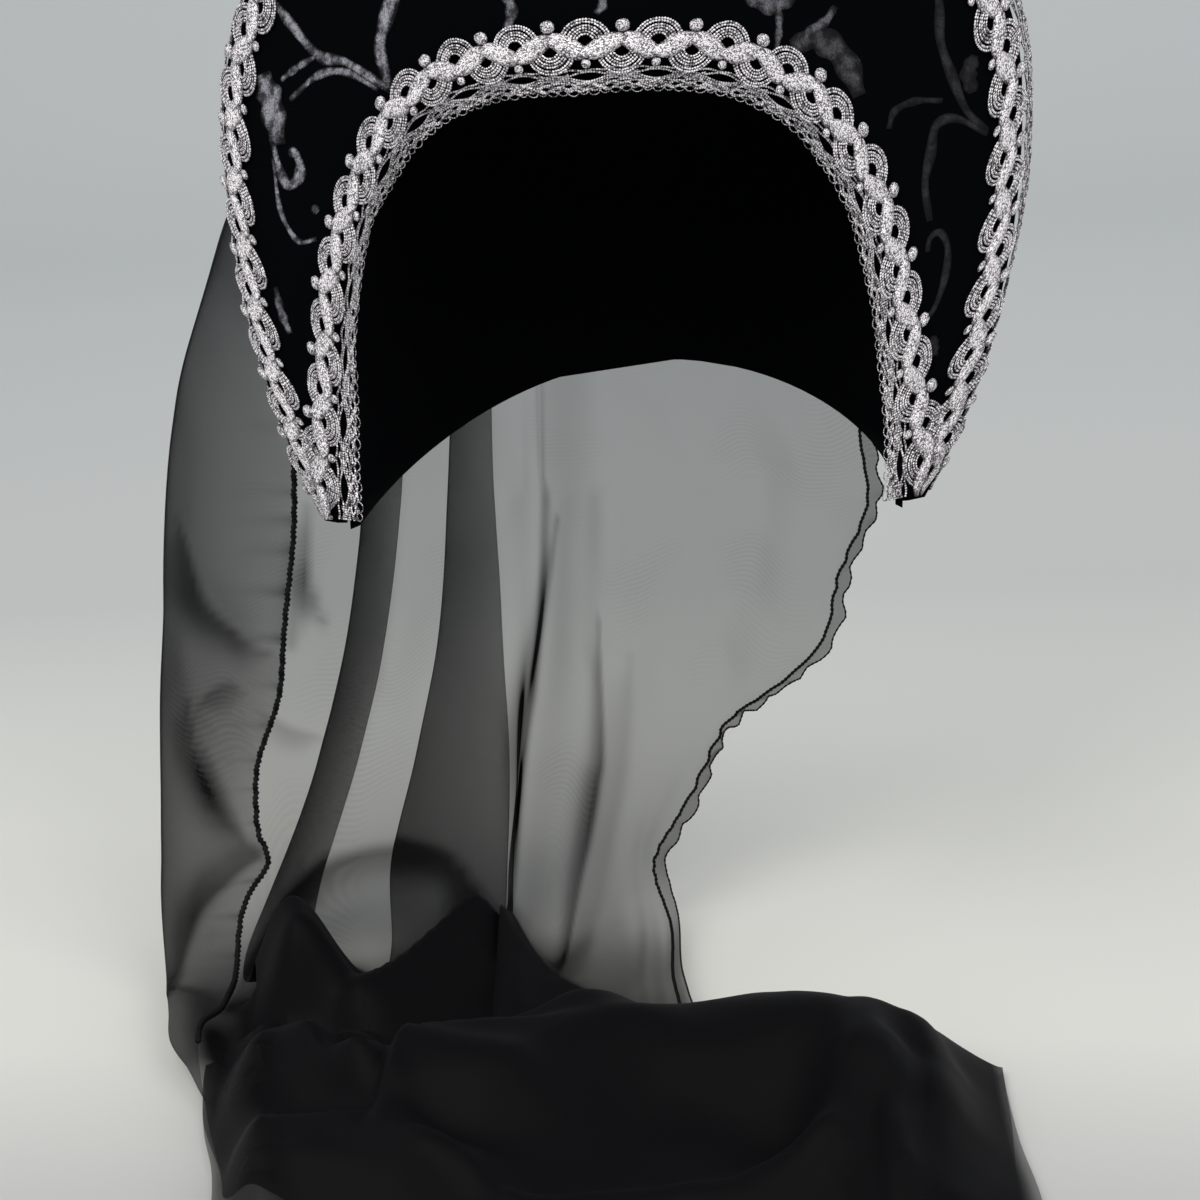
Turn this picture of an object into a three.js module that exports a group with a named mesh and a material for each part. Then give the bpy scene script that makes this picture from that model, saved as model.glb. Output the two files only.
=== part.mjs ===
import * as THREE from 'three';

// French hood: a stiffened crescent of figured black velvet standing round the face, a soft velvet
// cap behind it, metallic gimp braid on both edges of the crescent, a second row of braid hanging
// from each edge, and a long sheer veil that falls behind and lies in a heap in front.
// Millimetres, +Z up, the face opening looks along -Y, the hood is even about X = 0.
// The origin is the middle of the hollow for the head.

// Head opening and crescent, drawn flat as x across and v up from the tips
const OPENING_HALF_WIDTH = 85.2;
const OPENING_HEIGHT = 137.6;
const OPENING_SQUARENESS = 2.98;
const OUTER_HALF_WIDTH = 123.8;
const OUTER_WIDEST_V = 118.9;
const OUTER_RISE = 102.4;
const OUTER_DROP = 173.0;
const OUTER_UPPER_SHARE = 0.58;
// how the flat drawing is stood up: leant back at the top and swept back round the head
const TIP_Y = -9.2;
const TIP_Z = -67.3;
const LEAN = THREE.MathUtils.degToRad(17.3);
const SWEEP = 0.733;
const SWEEP_ROUNDING = 40;
const SWEEP_ZERO_X = 84;
const CRESCENT_THICKNESS = 4.4;
const CRESCENT_EDGE_ROUND = 1.6;
// share of the thickness left flat on the rounded edges
const CRESCENT_EDGE_FLAT = 0.45;
const CRESCENT_STATIONS = 46;
const GAP = 0.35;

// Cap
const CAP_BACK_Y = 104;
const CAP_BACK_Z = -46;
const CAP_CENTRE_Z = -28;
const CAP_FULLNESS = 2.7;
// how much flatter than the rest the cap's lower edge runs to the nape, and where that starts
const CAP_NAPE = 0.9;
const CAP_NAPE_FROM = 0.75;
const CAP_SEAM_IN = 2.2;
const CAP_SEAM_OUT = 4.4;
const CAP_COLUMNS = 28;
const CAP_ROWS = 7;
const CAP_TAB = 4.5;
const CAP_TAB_FROM = 0.97;
const CAP_THICKNESS = 2;

// Braid
const BRAID_WIDTH = 13.4;
const BRAID_THICKNESS = 1.0;
const BRAID_RIDGE = 0.9;
const BRAID_PITCH = 20.0;
const BRAID_SCALLOP = 1.5;
// how far the front braid lies in from the crescent's edge and out from its middle line
const BRAID_EDGE_IN = 0.3;
const BRAID_MIDDLE_GAP = 0.25;
// the zigzag ridge: how far it swings and how broad it is, as shares of the braid's width
const RIDGE_SWING = 0.22;
const RIDGE_BREADTH = 0.17;
const RIDGE_SHOULDER = 0.2;
const BRAID_LINE_SHARE = 0.12;
const FRONT_BRAID_ENDS = 0.004;
const EDGE_BRAID_WIDTH = 9.0;
const EDGE_BRAID_THICKNESS = 1.2;
const EDGE_BRAID_ENDS = 0.006;
// how far in front of the crescent's middle surface each hanging row is sewn
const INNER_EDGE_AHEAD = 0.6;
const OUTER_EDGE_AHEAD = 1.2;
const EDGE_BRAID_MARGIN = 0.7;
const EDGE_BRAID_RIDGE = 1.3;
const OUTER_EDGE_TURN = 72;
const OUTER_EDGE_NARROWING = 0.55;

// Veil
const VEIL_THICKNESS = 1.0;
const FLOOR_Z = -245;
const VEIL_BACK_Y = 112;
// the cap's size as the veil meets it, and how far outside it the cloth keeps
const CAP_TOP = 96;
const CAP_SIDE = 90;
const CAP_FRONT_Y = 2;
const VEIL_CLEARANCE = 1.05;
const VEIL_CLEAR_DEPTH = 60;

// Colours
const VELVET = 0x08080b;
const SILVER_BRAID = 0xa9a8ac;
const DARK_BRAID = 0x77767c;
const ORGANZA = 0x1b1b1f;

const group = new THREE.Group();
group.name = 'french_hood';

const lerp = THREE.MathUtils.lerp;
const clamp = THREE.MathUtils.clamp;
const smooth = (t) => THREE.MathUtils.smoothstep(t, 0, 1);

// The flat drawing of the crescent: the opening's edge and the outer edge, from the top centre
// (t = 0) to the right tip (t = 1)
function openingPoint(t) {
  const a = t * Math.PI / 2;
  const power = 2 / OPENING_SQUARENESS;
  return [
    OPENING_HALF_WIDTH * Math.pow(Math.max(Math.sin(a), 0), power),
    OPENING_HEIGHT * Math.pow(Math.max(Math.cos(a), 0), power),
  ];
}

function outerPoint(t) {
  if (t < OUTER_UPPER_SHARE) {
    const a = t / OUTER_UPPER_SHARE * Math.PI / 2;
    return [OUTER_HALF_WIDTH * Math.sin(a), OUTER_WIDEST_V + OUTER_RISE * Math.cos(a)];
  }
  const v = OUTER_WIDEST_V * (1 - (t - OUTER_UPPER_SHARE) / (1 - OUTER_UPPER_SHARE));
  const fall = (OUTER_WIDEST_V - v) / OUTER_DROP;
  return [OUTER_HALF_WIDTH * Math.sqrt(1 - fall * fall), v];
}

// a curve from the top centre to the right tip, read by its own length from 0 to 1
function byLength(pointAt) {
  const steps = 600;
  const points = [];
  const lengths = [0];
  for (let i = 0; i <= steps; i++) {
    points.push(pointAt(i / steps));
    if (i > 0) {
      const step = Math.hypot(points[i][0] - points[i - 1][0], points[i][1] - points[i - 1][1]);
      lengths.push(lengths[i - 1] + step);
    }
  }
  const total = lengths[steps];
  return (f) => {
    const want = Math.abs(f) * total;
    let lo = 0;
    let hi = steps;
    while (hi - lo > 1) {
      const mid = (lo + hi) >> 1;
      if (lengths[mid] < want) lo = mid;
      else hi = mid;
    }
    const k = clamp((want - lengths[lo]) / (lengths[hi] - lengths[lo]), 0, 1);
    const side = f < 0 ? -1 : 1;
    return [side * lerp(points[lo][0], points[hi][0], k), lerp(points[lo][1], points[hi][1], k)];
  };
}

const opening = byLength(openingPoint);
const outer = byLength(outerPoint);

function bend(x) {
  const swept = (d) => SWEEP * (Math.hypot(d, SWEEP_ROUNDING) - SWEEP_ROUNDING);
  return swept(x) - swept(SWEEP_ZERO_X);
}

function stand(x, v) {
  return new THREE.Vector3(x, TIP_Y + v * Math.sin(LEAN) + bend(x), TIP_Z + v * Math.cos(LEAN));
}

// how wide the crescent is at f, which runs along it from tip to tip (-1 to 1)
function crescentWidth(f) {
  const a = opening(f);
  const b = outer(f);
  return Math.hypot(b[0] - a[0], b[1] - a[1]);
}

// a place on its middle surface, share of the way from the opening's edge to the outer edge
function onCrescent(f, share) {
  const a = opening(f);
  const b = outer(f);
  return stand(lerp(a[0], b[0], share), lerp(a[1], b[1], share));
}

function crescentNormal(f, share) {
  const h = 0.004;
  const along = onCrescent(Math.min(f + h, 1), share).sub(onCrescent(Math.max(f - h, -1), share));
  const across = onCrescent(f, share + 0.02).sub(onCrescent(f, share - 0.02));
  const normal = new THREE.Vector3().crossVectors(along, across).normalize();
  if (normal.y > 0) normal.negate();
  return normal;
}

// a point at f, share of the width, and height above the middle surface towards the front
function crescentPoint(f, share, height) {
  return onCrescent(f, share).addScaledVector(crescentNormal(f, clamp(share, 0, 1)), height);
}

// rings of equal count become one closed skin, the two end rings are filled by a fan
function loft(rings) {
  const count = rings[0].length;
  const positions = [];
  const index = [];
  for (const ring of rings) {
    for (const p of ring) positions.push(p.x, p.y, p.z);
  }
  for (let r = 0; r < rings.length - 1; r++) {
    for (let i = 0; i < count; i++) {
      const a = r * count + i;
      const b = r * count + (i + 1) % count;
      const c = a + count;
      const d = b + count;
      index.push(a, b, d, a, d, c);
    }
  }
  for (const [r, flip] of [[0, true], [rings.length - 1, false]]) {
    const middle = rings[r].reduce((s, p) => s.add(p), new THREE.Vector3()).divideScalar(count);
    const m = positions.length / 3;
    positions.push(middle.x, middle.y, middle.z);
    for (let i = 0; i < count; i++) {
      const a = r * count + i;
      const b = r * count + (i + 1) % count;
      if (flip) index.push(m, b, a);
      else index.push(m, a, b);
    }
  }
  return outward(positions, index);
}

// two sheets of the same grid become one wall, joined all round
function wall(front, back) {
  const rows = front.length;
  const columns = front[0].length;
  const positions = [];
  const index = [];
  for (const sheet of [front, back]) {
    for (const row of sheet) {
      for (const p of row) positions.push(p.x, p.y, p.z);
    }
  }
  const F = (r, c) => r * columns + c;
  const B = (r, c) => rows * columns + r * columns + c;
  for (let r = 0; r < rows - 1; r++) {
    for (let c = 0; c < columns - 1; c++) {
      index.push(F(r, c), F(r, c + 1), F(r + 1, c + 1), F(r, c), F(r + 1, c + 1), F(r + 1, c));
      index.push(B(r, c), B(r + 1, c + 1), B(r, c + 1), B(r, c), B(r + 1, c), B(r + 1, c + 1));
    }
  }
  const rim = [];
  for (let c = 0; c < columns; c++) rim.push([0, c]);
  for (let r = 1; r < rows; r++) rim.push([r, columns - 1]);
  for (let c = columns - 2; c >= 0; c--) rim.push([rows - 1, c]);
  for (let r = rows - 2; r > 0; r--) rim.push([r, 0]);
  for (let i = 0; i < rim.length; i++) {
    const [r0, c0] = rim[i];
    const [r1, c1] = rim[(i + 1) % rim.length];
    index.push(F(r0, c0), B(r0, c0), B(r1, c1), F(r0, c0), B(r1, c1), F(r1, c1));
  }
  return outward(positions, index);
}

// drops triangles without area, and turns the skin right side out
function outward(positions, index) {
  const at = (i) => new THREE.Vector3(positions[3 * i], positions[3 * i + 1], positions[3 * i + 2]);
  const key = (i) => positions.slice(3 * i, 3 * i + 3).map((v) => v.toFixed(4)).join();
  const kept = [];
  let volume = 0;
  for (let i = 0; i < index.length; i += 3) {
    const [a, b, c] = index.slice(i, i + 3);
    if (key(a) === key(b) || key(b) === key(c) || key(c) === key(a)) continue;
    kept.push(a, b, c);
    volume += at(a).dot(at(b).cross(at(c)));
  }
  if (volume < 0) {
    for (let i = 0; i < kept.length; i += 3) [kept[i], kept[i + 1]] = [kept[i + 1], kept[i]];
  }
  const geometry = new THREE.BufferGeometry();
  geometry.setAttribute('position', new THREE.Float32BufferAttribute(positions, 3));
  geometry.setIndex(kept);
  geometry.computeVertexNormals();
  return geometry;
}

function piece(name, geometry, color, roughness, metalness) {
  const material = new THREE.MeshStandardMaterial({ color, roughness, metalness });
  const mesh = new THREE.Mesh(geometry, material);
  mesh.name = name;
  group.add(mesh);
}

// Crescent: one band with a rounded section
function crescentRing(f) {
  const w = crescentWidth(f);
  const half = CRESCENT_THICKNESS / 2;
  const round = Math.min(CRESCENT_EDGE_ROUND, w * 0.2) / w;
  const flat = half * CRESCENT_EDGE_FLAT;
  const section = [
    [0, -flat], [0, flat], [round, half], [0.35, half], [0.65, half], [1 - round, half],
    [1, flat], [1, -flat], [1 - round, -half], [0.65, -half], [0.35, -half], [round, -half],
  ];
  return section.map(([share, height]) => crescentPoint(f, share, height));
}

const crescentRings = [];
for (let i = 0; i <= CRESCENT_STATIONS; i++) {
  crescentRings.push(crescentRing(lerp(-1, 1, i / CRESCENT_STATIONS)));
}
piece('crescent', loft(crescentRings), VELVET, 0.95, 0);

// Cap: it starts behind the crescent's opening and closes to a point low at the back
function capPoint(f, k, seam, inset) {
  const w = crescentWidth(f);
  const from = crescentPoint(f, seam / w, -CRESCENT_THICKNESS / 2 - GAP);
  const back = new THREE.Vector3(0, CAP_BACK_Y - inset, CAP_BACK_Z);
  from.z -= CAP_TAB * smooth((Math.abs(f) - CAP_TAB_FROM) / (1 - CAP_TAB_FROM));
  const depth = Math.sin(k * Math.PI / 2);
  const shrink = Math.pow(Math.max(1 - Math.pow(depth, CAP_FULLNESS), 0), 1 / CAP_FULLNESS);
  const low = 1 + CAP_NAPE * smooth((Math.abs(f) - CAP_NAPE_FROM) / (1 - CAP_NAPE_FROM));
  return new THREE.Vector3(
    from.x * shrink,
    lerp(from.y, back.y, depth),
    lerp(back.z, from.z, Math.pow(shrink, low)),
  );
}

function capSheet(seam, inset) {
  const sheet = [];
  for (let r = 0; r <= CAP_ROWS; r++) {
    const row = [];
    for (let c = 0; c <= CAP_COLUMNS; c++) {
      row.push(capPoint(lerp(-1, 1, c / CAP_COLUMNS), r / CAP_ROWS, seam, inset));
    }
    sheet.push(row);
  }
  return sheet;
}

const capWall = wall(capSheet(CAP_SEAM_OUT, 0), capSheet(CAP_SEAM_IN, CAP_THICKNESS));
piece('crown_cap', capWall, VELVET, 0.95, 0);

// Braid: stations a quarter of a pitch apart by length along a line on the crescent, which stops
// short of both tips by a share of its length
function braidStations(share, ends) {
  const samples = 800;
  const spots = [];
  let length = 0;
  let last = null;
  for (let i = 0; i <= samples; i++) {
    const f = lerp(-1 + ends, 1 - ends, i / samples);
    const p = onCrescent(f, share);
    if (last) length += p.distanceTo(last);
    spots.push([length, f]);
    last = p;
  }
  const pitches = Math.round(length / BRAID_PITCH);
  const count = pitches * 4;
  const stations = [];
  let j = 0;
  for (let i = 0; i <= count; i++) {
    const want = length * i / count;
    while (j < samples - 1 && spots[j + 1][0] < want) j++;
    const k = clamp((want - spots[j][0]) / (spots[j + 1][0] - spots[j][0]), 0, 1);
    stations.push({ f: lerp(spots[j][1], spots[j + 1][1], k), phase: i / 4 });
  }
  return stations;
}

// front braid: scalloped on both margins, the scallops half a pitch apart, with a zigzag ridge
function frontBraid(side) {
  const base = CRESCENT_THICKNESS / 2 + GAP;
  const rings = [];
  const line = side === 'inner' ? BRAID_LINE_SHARE : 1 - BRAID_LINE_SHARE;
  for (const { f, phase } of braidStations(line, FRONT_BRAID_ENDS)) {
    const w = crescentWidth(f);
    const wide = Math.min(BRAID_WIDTH, w / 2 - BRAID_MIDDLE_GAP);
    const wave = Math.cos(phase * 2 * Math.PI);
    const bite = BRAID_SCALLOP * Math.min(1, wide / BRAID_WIDTH);
    const near = BRAID_EDGE_IN + bite * (0.5 + 0.5 * wave);
    const far = wide - bite * (0.5 - 0.5 * wave);
    const ridge = lerp(near, far, 0.5 - RIDGE_SWING * wave);
    const spread = RIDGE_BREADTH * wide;
    const shoulder = BRAID_THICKNESS + RIDGE_SHOULDER;
    const section = [
      [near, 0], [far, 0], [far, BRAID_THICKNESS], [ridge + spread, shoulder],
      [ridge, BRAID_THICKNESS + BRAID_RIDGE], [ridge - spread, shoulder],
      [near, BRAID_THICKNESS],
    ];
    rings.push(section.map(([d, h]) => {
      const share = side === 'inner' ? d / w : 1 - d / w;
      return crescentPoint(f, share, base + h);
    }));
  }
  return loft(rings);
}

// how far the hanging row is turned back, in degrees, at places from the left tip to the right tip
const INNER_TURN = [
  { at: -1.0, turn: 42 }, { at: -0.86, turn: 48 }, { at: -0.72, turn: 100 }, { at: -0.5, turn: 100 },
  { at: -0.34, turn: 40 }, { at: 0, turn: 24 }, { at: 0.45, turn: 45 }, { at: 0.8, turn: 62 },
  { at: 1.0, turn: 48 },
];

function turnAt(table, f) {
  for (let i = 1; i < table.length; i++) {
    if (f <= table[i].at) {
      const k = (f - table[i - 1].at) / (table[i].at - table[i - 1].at);
      return THREE.MathUtils.degToRad(lerp(table[i - 1].turn, table[i].turn, smooth(k)));
    }
  }
  return THREE.MathUtils.degToRad(table[table.length - 1].turn);
}

// hanging braid: sewn to the edge itself and standing away from it
function edgeBraid(side) {
  const inner = side === 'inner';
  const rings = [];
  for (const { f, phase } of braidStations(inner ? 0 : 1, EDGE_BRAID_ENDS)) {
    const share = inner ? 0 : 1;
    const normal = crescentNormal(f, share);
    const away = onCrescent(f, inner ? 0 : 1).sub(onCrescent(f, inner ? 0.1 : 0.9)).normalize();
    const turn = inner ? turnAt(INNER_TURN, f) : THREE.MathUtils.degToRad(OUTER_EDGE_TURN);
    const along = away.clone().multiplyScalar(Math.cos(turn)).addScaledVector(normal, -Math.sin(turn));
    const up = away.clone().multiplyScalar(Math.sin(turn)).addScaledVector(normal, Math.cos(turn));
    const root = onCrescent(f, share).addScaledVector(away, GAP + 0.05)
      .addScaledVector(normal, inner ? INNER_EDGE_AHEAD : OUTER_EDGE_AHEAD);
    const wide = inner ? EDGE_BRAID_WIDTH : EDGE_BRAID_WIDTH * OUTER_EDGE_NARROWING;
    const reach = wide - BRAID_SCALLOP * (0.5 - 0.5 * Math.cos(phase * 2 * Math.PI));
    const section = [
      [0, 0], [reach, 0], [reach, EDGE_BRAID_THICKNESS * EDGE_BRAID_MARGIN],
      [reach * 0.5, EDGE_BRAID_THICKNESS * EDGE_BRAID_RIDGE], [0, EDGE_BRAID_THICKNESS],
    ];
    rings.push(section.map(([d, h]) => root.clone().addScaledVector(along, d).addScaledVector(up, h)));
  }
  return loft(rings);
}

piece('inner_front_braid', frontBraid('inner'), SILVER_BRAID, 0.45, 0.8);
piece('outer_front_braid', frontBraid('outer'), SILVER_BRAID, 0.45, 0.8);
piece('inner_edge_braid', edgeBraid('inner'), DARK_BRAID, 0.5, 0.8);
piece('outer_edge_braid', edgeBraid('outer'), DARK_BRAID, 0.5, 0.8);

// Veil: a row per fold across the cloth from the left hem to the right hem. x at heights above and below
// the head's middle, how far each fold stands in front of the hindmost layer, where it lands on the
// floor, how it overlaps there, and its place across the heap in front
const FOLDS = [
  { x10: -108, x60: -116, x139: -128, x180: -138, x215: -146, ahead: 50, land: 14, lap: 8, heap: -139 },
  { x10: -124, x60: -142, x139: -151, x180: -157, x215: -162, ahead: 42, land: 10, lap: 7, heap: -132 },
  { x10: -136, x60: -162, x139: -174, x180: -177, x215: -176, ahead: 33, land: 12, lap: 4, heap: -124 },
  { x10: -127, x60: -151, x139: -161, x180: -165, x215: -166, ahead: 20, land: 22, lap: 1, heap: -114 },
  { x10: -106, x60: -128, x139: -139, x180: -147, x215: -152, ahead: 10, land: 34, lap: 0, heap: -101 },
  { x10: -86, x60: -88, x139: -101, x180: -113, x215: -124, ahead: 4, land: 44, lap: 0, heap: -90 },
  { x10: -93, x60: -99, x139: -114, x180: -127, x215: -139, ahead: 9, land: 42, lap: 4, heap: -80 },
  { x10: -80, x60: -84, x139: -97, x180: -110, x215: -121, ahead: 15, land: 42, lap: 8, heap: -68 },
  { x10: -67, x60: -72, x139: -84, x180: -90, x215: -96, ahead: 10, land: 50, lap: 5, heap: -56 },
  { x10: -52, x60: -57, x139: -60, x180: -60, x215: -61, ahead: 3, land: 58, lap: 0, heap: -44 },
  { x10: -62, x60: -70, x139: -81, x180: -92, x215: -102, ahead: 8, land: 56, lap: 4, heap: -32 },
  { x10: -49, x60: -53, x139: -58, x180: -59, x215: -61, ahead: 14, land: 56, lap: 9, heap: -18 },
  { x10: -38, x60: -42, x139: -48, x180: -55, x215: -60, ahead: 6, land: 58, lap: 14, heap: -4 },
  { x10: -29, x60: -34, x139: -42, x180: -50, x215: -55, ahead: 13, land: 58, lap: 9, heap: 12 },
  { x10: -20, x60: -24, x139: -32, x180: -38, x215: -45, ahead: 5, land: 62, lap: 2, heap: 28 },
  { x10: -8, x60: -12, x139: -19, x180: -25, x215: -31, ahead: 11, land: 62, lap: 8, heap: 44 },
  { x10: 8, x60: 6, x139: 0, x180: -10, x215: -20, ahead: 3, land: 66, lap: 2, heap: 60 },
  { x10: 32, x60: 29, x139: 20, x180: 2, x215: -14, ahead: 5, land: 66, lap: 5, heap: 76 },
  { x10: 60, x60: 54, x139: 42, x180: 11, x215: -9, ahead: 9, land: 66, lap: 3, heap: 92 },
  { x10: 88, x60: 78, x139: 60, x180: 20, x215: -4, ahead: 5, land: 64, lap: 8, heap: 106 },
];
// places across the cloth where a column of the wall stands, close together round the turned folds
const COLUMNS = [
  0, 1, 1.6, 2, 2.5, 3, 4, 5, 5.4, 6, 6.5, 7, 8, 9, 9.4, 10, 10.5, 11, 12, 13, 14, 15, 16, 17, 18, 19,
];
// the veil's sewn edge runs behind the crescent from the left side over the top to the right
const SEWN_FROM = -0.62;
const SEWN_TO = 0.5;
const SEWN_SHARE = 0.5;
const SEWN_BEHIND = 1.8;
const GATHER_DEPTH = 0.7;
const GATHER_RUN = 5.2;
// how far the cloth has dropped back and down by the time it clears the crown, as shares of the way
// to the first station of FOLDS
const CROWN_STATION = { out: 0.5, back: 0.72, down: 0.24 };
// the stations of FOLDS: their heights, and how far the cloth has come forward to where it lands
const HUNG_STATIONS = [
  { x: 'x10', z: 10, forward: 0 }, { x: 'x60', z: -60, forward: 0 }, { x: 'x139', z: -139, forward: 0.06 },
  { x: 'x180', z: -182, forward: 0.2 }, { x: 'x215', z: -218, forward: 0.5 },
];
const LANDED_RISE = 3;
const NEXT_RISE = 2;
const NEXT_LAP = 0.9;
const FOOT_STATION = 6;
// rows of the wall between one station of a thread line and the next, from the sewn end to the foot
const ROWS_BETWEEN = [3, 3, 2, 3, 2, 2, 3, 3, 3, 3, 2, 2, 2, 2, 2, 2, 2, 2, 2, 2, 1];
// the run over the floor, seen from the side: forward, back over itself, and forward again on top.
// spread is how far the folds have opened from where they land to their place across the heap
const LAND_SPREAD = 0.04;
const NEXT_SPREAD = 0.09;
const HEAP_RUN = [
  { y: -22, rise: 1.5, spread: 0.22, lap: 0.8 }, { y: -72, rise: 1.5, spread: 0.65, lap: 0.4 },
  { y: -118, rise: 1.6, spread: 0.95, lap: 0.15 }, { y: -137, rise: 5, spread: 1, lap: 0 },
  { y: -118, rise: 9, spread: 1, lap: 0 }, { y: -72, rise: 9.5, spread: 1, lap: 0 },
  { y: -40, rise: 10, spread: 1, lap: 0 }, { y: -25, rise: 15, spread: 1, lap: 0 },
  { y: -40, rise: 20, spread: 1, lap: 0 }, { y: -80, rise: 19, spread: 1.01, lap: 0 },
  { y: -120, rise: 16, spread: 1.03, lap: 0 }, { y: -152, rise: 7, spread: 1.04, lap: 0 },
  { y: -172, rise: 1.5, spread: 1.05, lap: 0 },
];
// the left side opens sooner than the rest once it has landed
const LEFT_OPENING = { power: 0.45, until: 8 };
// soft ridges that lift every layer of the heap: their two ends, half breadth and height
const RIDGES = [
  { x0: -15, y0: -60, x1: 46, y1: -50, wide: 34, high: 13 },
  { x0: -119, y0: 8, x1: -114, y1: -6, wide: 18, high: 38 },
  { x0: -60, y0: 50, x1: -92, y1: -20, wide: 13, high: 22 },
  { x0: -165, y0: 12, x1: -142, y1: -36, wide: 14, high: 8 },
  { x0: -112, y0: -62, x1: -40, y1: -92, wide: 22, high: 12 },
  { x0: 74, y0: -50, x1: 58, y1: -108, wide: 13, high: 7 },
  { x0: -114, y0: -118, x1: -40, y1: -128, wide: 15, high: 8 },
  { x0: 20, y0: -136, x1: -24, y1: -146, wide: 14, high: 5 },
];

function heaped(x, y) {
  let high = 0;
  for (const r of RIDGES) {
    const dx = r.x1 - r.x0;
    const dy = r.y1 - r.y0;
    const k = clamp(((x - r.x0) * dx + (y - r.y0) * dy) / (dx * dx + dy * dy), 0, 1);
    const d = Math.hypot(x - r.x0 - k * dx, y - r.y0 - k * dy) / r.wide;
    high += r.high * Math.exp(-1.4 * d * d);
  }
  return high;
}

// how far the heap's back crest, its front and its two sides wander
const CREST = { dip: 16, dipX: -82, dipWide: 26, fall: 7, fallFrom: 50, fallOver: 40 };
const FRONT = { wave: 9, waveRun: 24, waveStart: 0.8, corner: 26 };
const SIDES = { from: -40, left: 0.17, leftMost: 30, right: 0.06, half: 120 };
// the heap's front end, how far back of it the crest takes over, and where the straying starts
const HEAP_FRONT_Y = -150;
const HEAP_DEPTH = 110;
const STRAY_FROM_Y = -4;
const STRAY_OVER = 14;

function strayed(x, y, across) {
  const corner = (2 * across - 1) ** 4;
  const dip = CREST.dip * Math.exp(-(((x - CREST.dipX) / CREST.dipWide) ** 2));
  const crest = -dip - CREST.fall * smooth((x - CREST.fallFrom) / CREST.fallOver);
  const front = FRONT.wave * Math.sin(x / FRONT.waveRun + FRONT.waveStart) + FRONT.corner * corner;
  const near = smooth((y - HEAP_FRONT_Y) / HEAP_DEPTH);
  const back = y - SIDES.from;
  const sides = x < 0 ? SIDES.left * Math.min(back, SIDES.leftMost) : SIDES.right * back;
  const straying = smooth((STRAY_FROM_Y - y) / STRAY_OVER);
  return [x - sides * Math.abs(x) / SIDES.half, y + lerp(front, crest, near) * straying];
}

function foldAt(place) {
  const i = clamp(Math.floor(place), 0, FOLDS.length - 2);
  const k = place - i;
  const out = {};
  for (const name of Object.keys(FOLDS[0])) {
    const p = [-1, 0, 1, 2].map((d) => FOLDS[clamp(i + d, 0, FOLDS.length - 1)][name]);
    out[name] = p[1] + 0.5 * k * (p[2] - p[0] + k * (2 * p[0] - 5 * p[1] + 4 * p[2] - p[3]
      + k * (3 * (p[1] - p[2]) + p[3] - p[0])));
  }
  return out;
}

// how far a fold has opened from where it lands to its place across the heap
function opened(place, spread) {
  return Math.pow(spread, lerp(LEFT_OPENING.power, 1, smooth(place / LEFT_OPENING.until)));
}

// the line one thread of the cloth follows from its sewn end to its foot
function threadLine(place) {
  const fold = foldAt(place);
  const y = VEIL_BACK_Y - fold.ahead;
  const f = lerp(SEWN_FROM, SEWN_TO, place / (FOLDS.length - 1));
  const gathers = GATHER_DEPTH * Math.sin(place * GATHER_RUN);
  const sewn = crescentPoint(f, SEWN_SHARE, -CRESCENT_THICKNESS / 2 - SEWN_BEHIND - gathers);
  const crown = new THREE.Vector3(
    lerp(sewn.x, fold.x10, CROWN_STATION.out),
    lerp(sewn.y, y, CROWN_STATION.back),
    lerp(sewn.z, HUNG_STATIONS[0].z, CROWN_STATION.down),
  );
  const points = [sewn, crown];
  for (const { x, z, forward } of HUNG_STATIONS) {
    points.push(new THREE.Vector3(fold[x], lerp(y, fold.land, forward), z));
  }
  points.push(new THREE.Vector3(
    lerp(fold.x215, fold.heap, opened(place, LAND_SPREAD)),
    fold.land,
    FLOOR_Z + LANDED_RISE + fold.lap,
  ));
  points.push(new THREE.Vector3(
    lerp(fold.x215, fold.heap, opened(place, NEXT_SPREAD)),
    lerp(fold.land, HEAP_RUN[0].y, 0.5),
    FLOOR_Z + NEXT_RISE + fold.lap * NEXT_LAP,
  ));
  const across = place / (FOLDS.length - 1);
  for (const spot of HEAP_RUN) {
    const placed = lerp(fold.x215, fold.heap, opened(place, spot.spread));
    const [x, back] = strayed(placed, spot.y, across);
    points.push(new THREE.Vector3(x, back, FLOOR_Z + spot.rise + fold.lap * spot.lap));
  }
  return new THREE.CatmullRomCurve3(points, false, 'centripetal');
}

// the cloth lies on the cap and never inside it: a point too near is carried straight outwards
function clearOfCap(p) {
  const high = Math.max(p.z - CAP_CENTRE_Z, 0) / CAP_TOP;
  const wide = Math.abs(p.x) / CAP_SIDE;
  const deep = Math.max(p.y - CAP_FRONT_Y, 0) / (CAP_BACK_Y - CAP_FRONT_Y);
  const section = Math.cbrt(high ** 3 + wide ** 3);
  const size = (section ** CAP_FULLNESS + deep ** CAP_FULLNESS) ** (1 / CAP_FULLNESS);
  if (p.z < CAP_CENTRE_Z - VEIL_CLEAR_DEPTH || size >= VEIL_CLEARANCE) return p;
  const grow = VEIL_CLEARANCE / size;
  const lift = p.z > CAP_CENTRE_Z ? grow : 1;
  return new THREE.Vector3(
    p.x * grow,
    CAP_FRONT_Y + (p.y - CAP_FRONT_Y) * grow,
    CAP_CENTRE_Z + (p.z - CAP_CENTRE_Z) * lift,
  );
}

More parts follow.
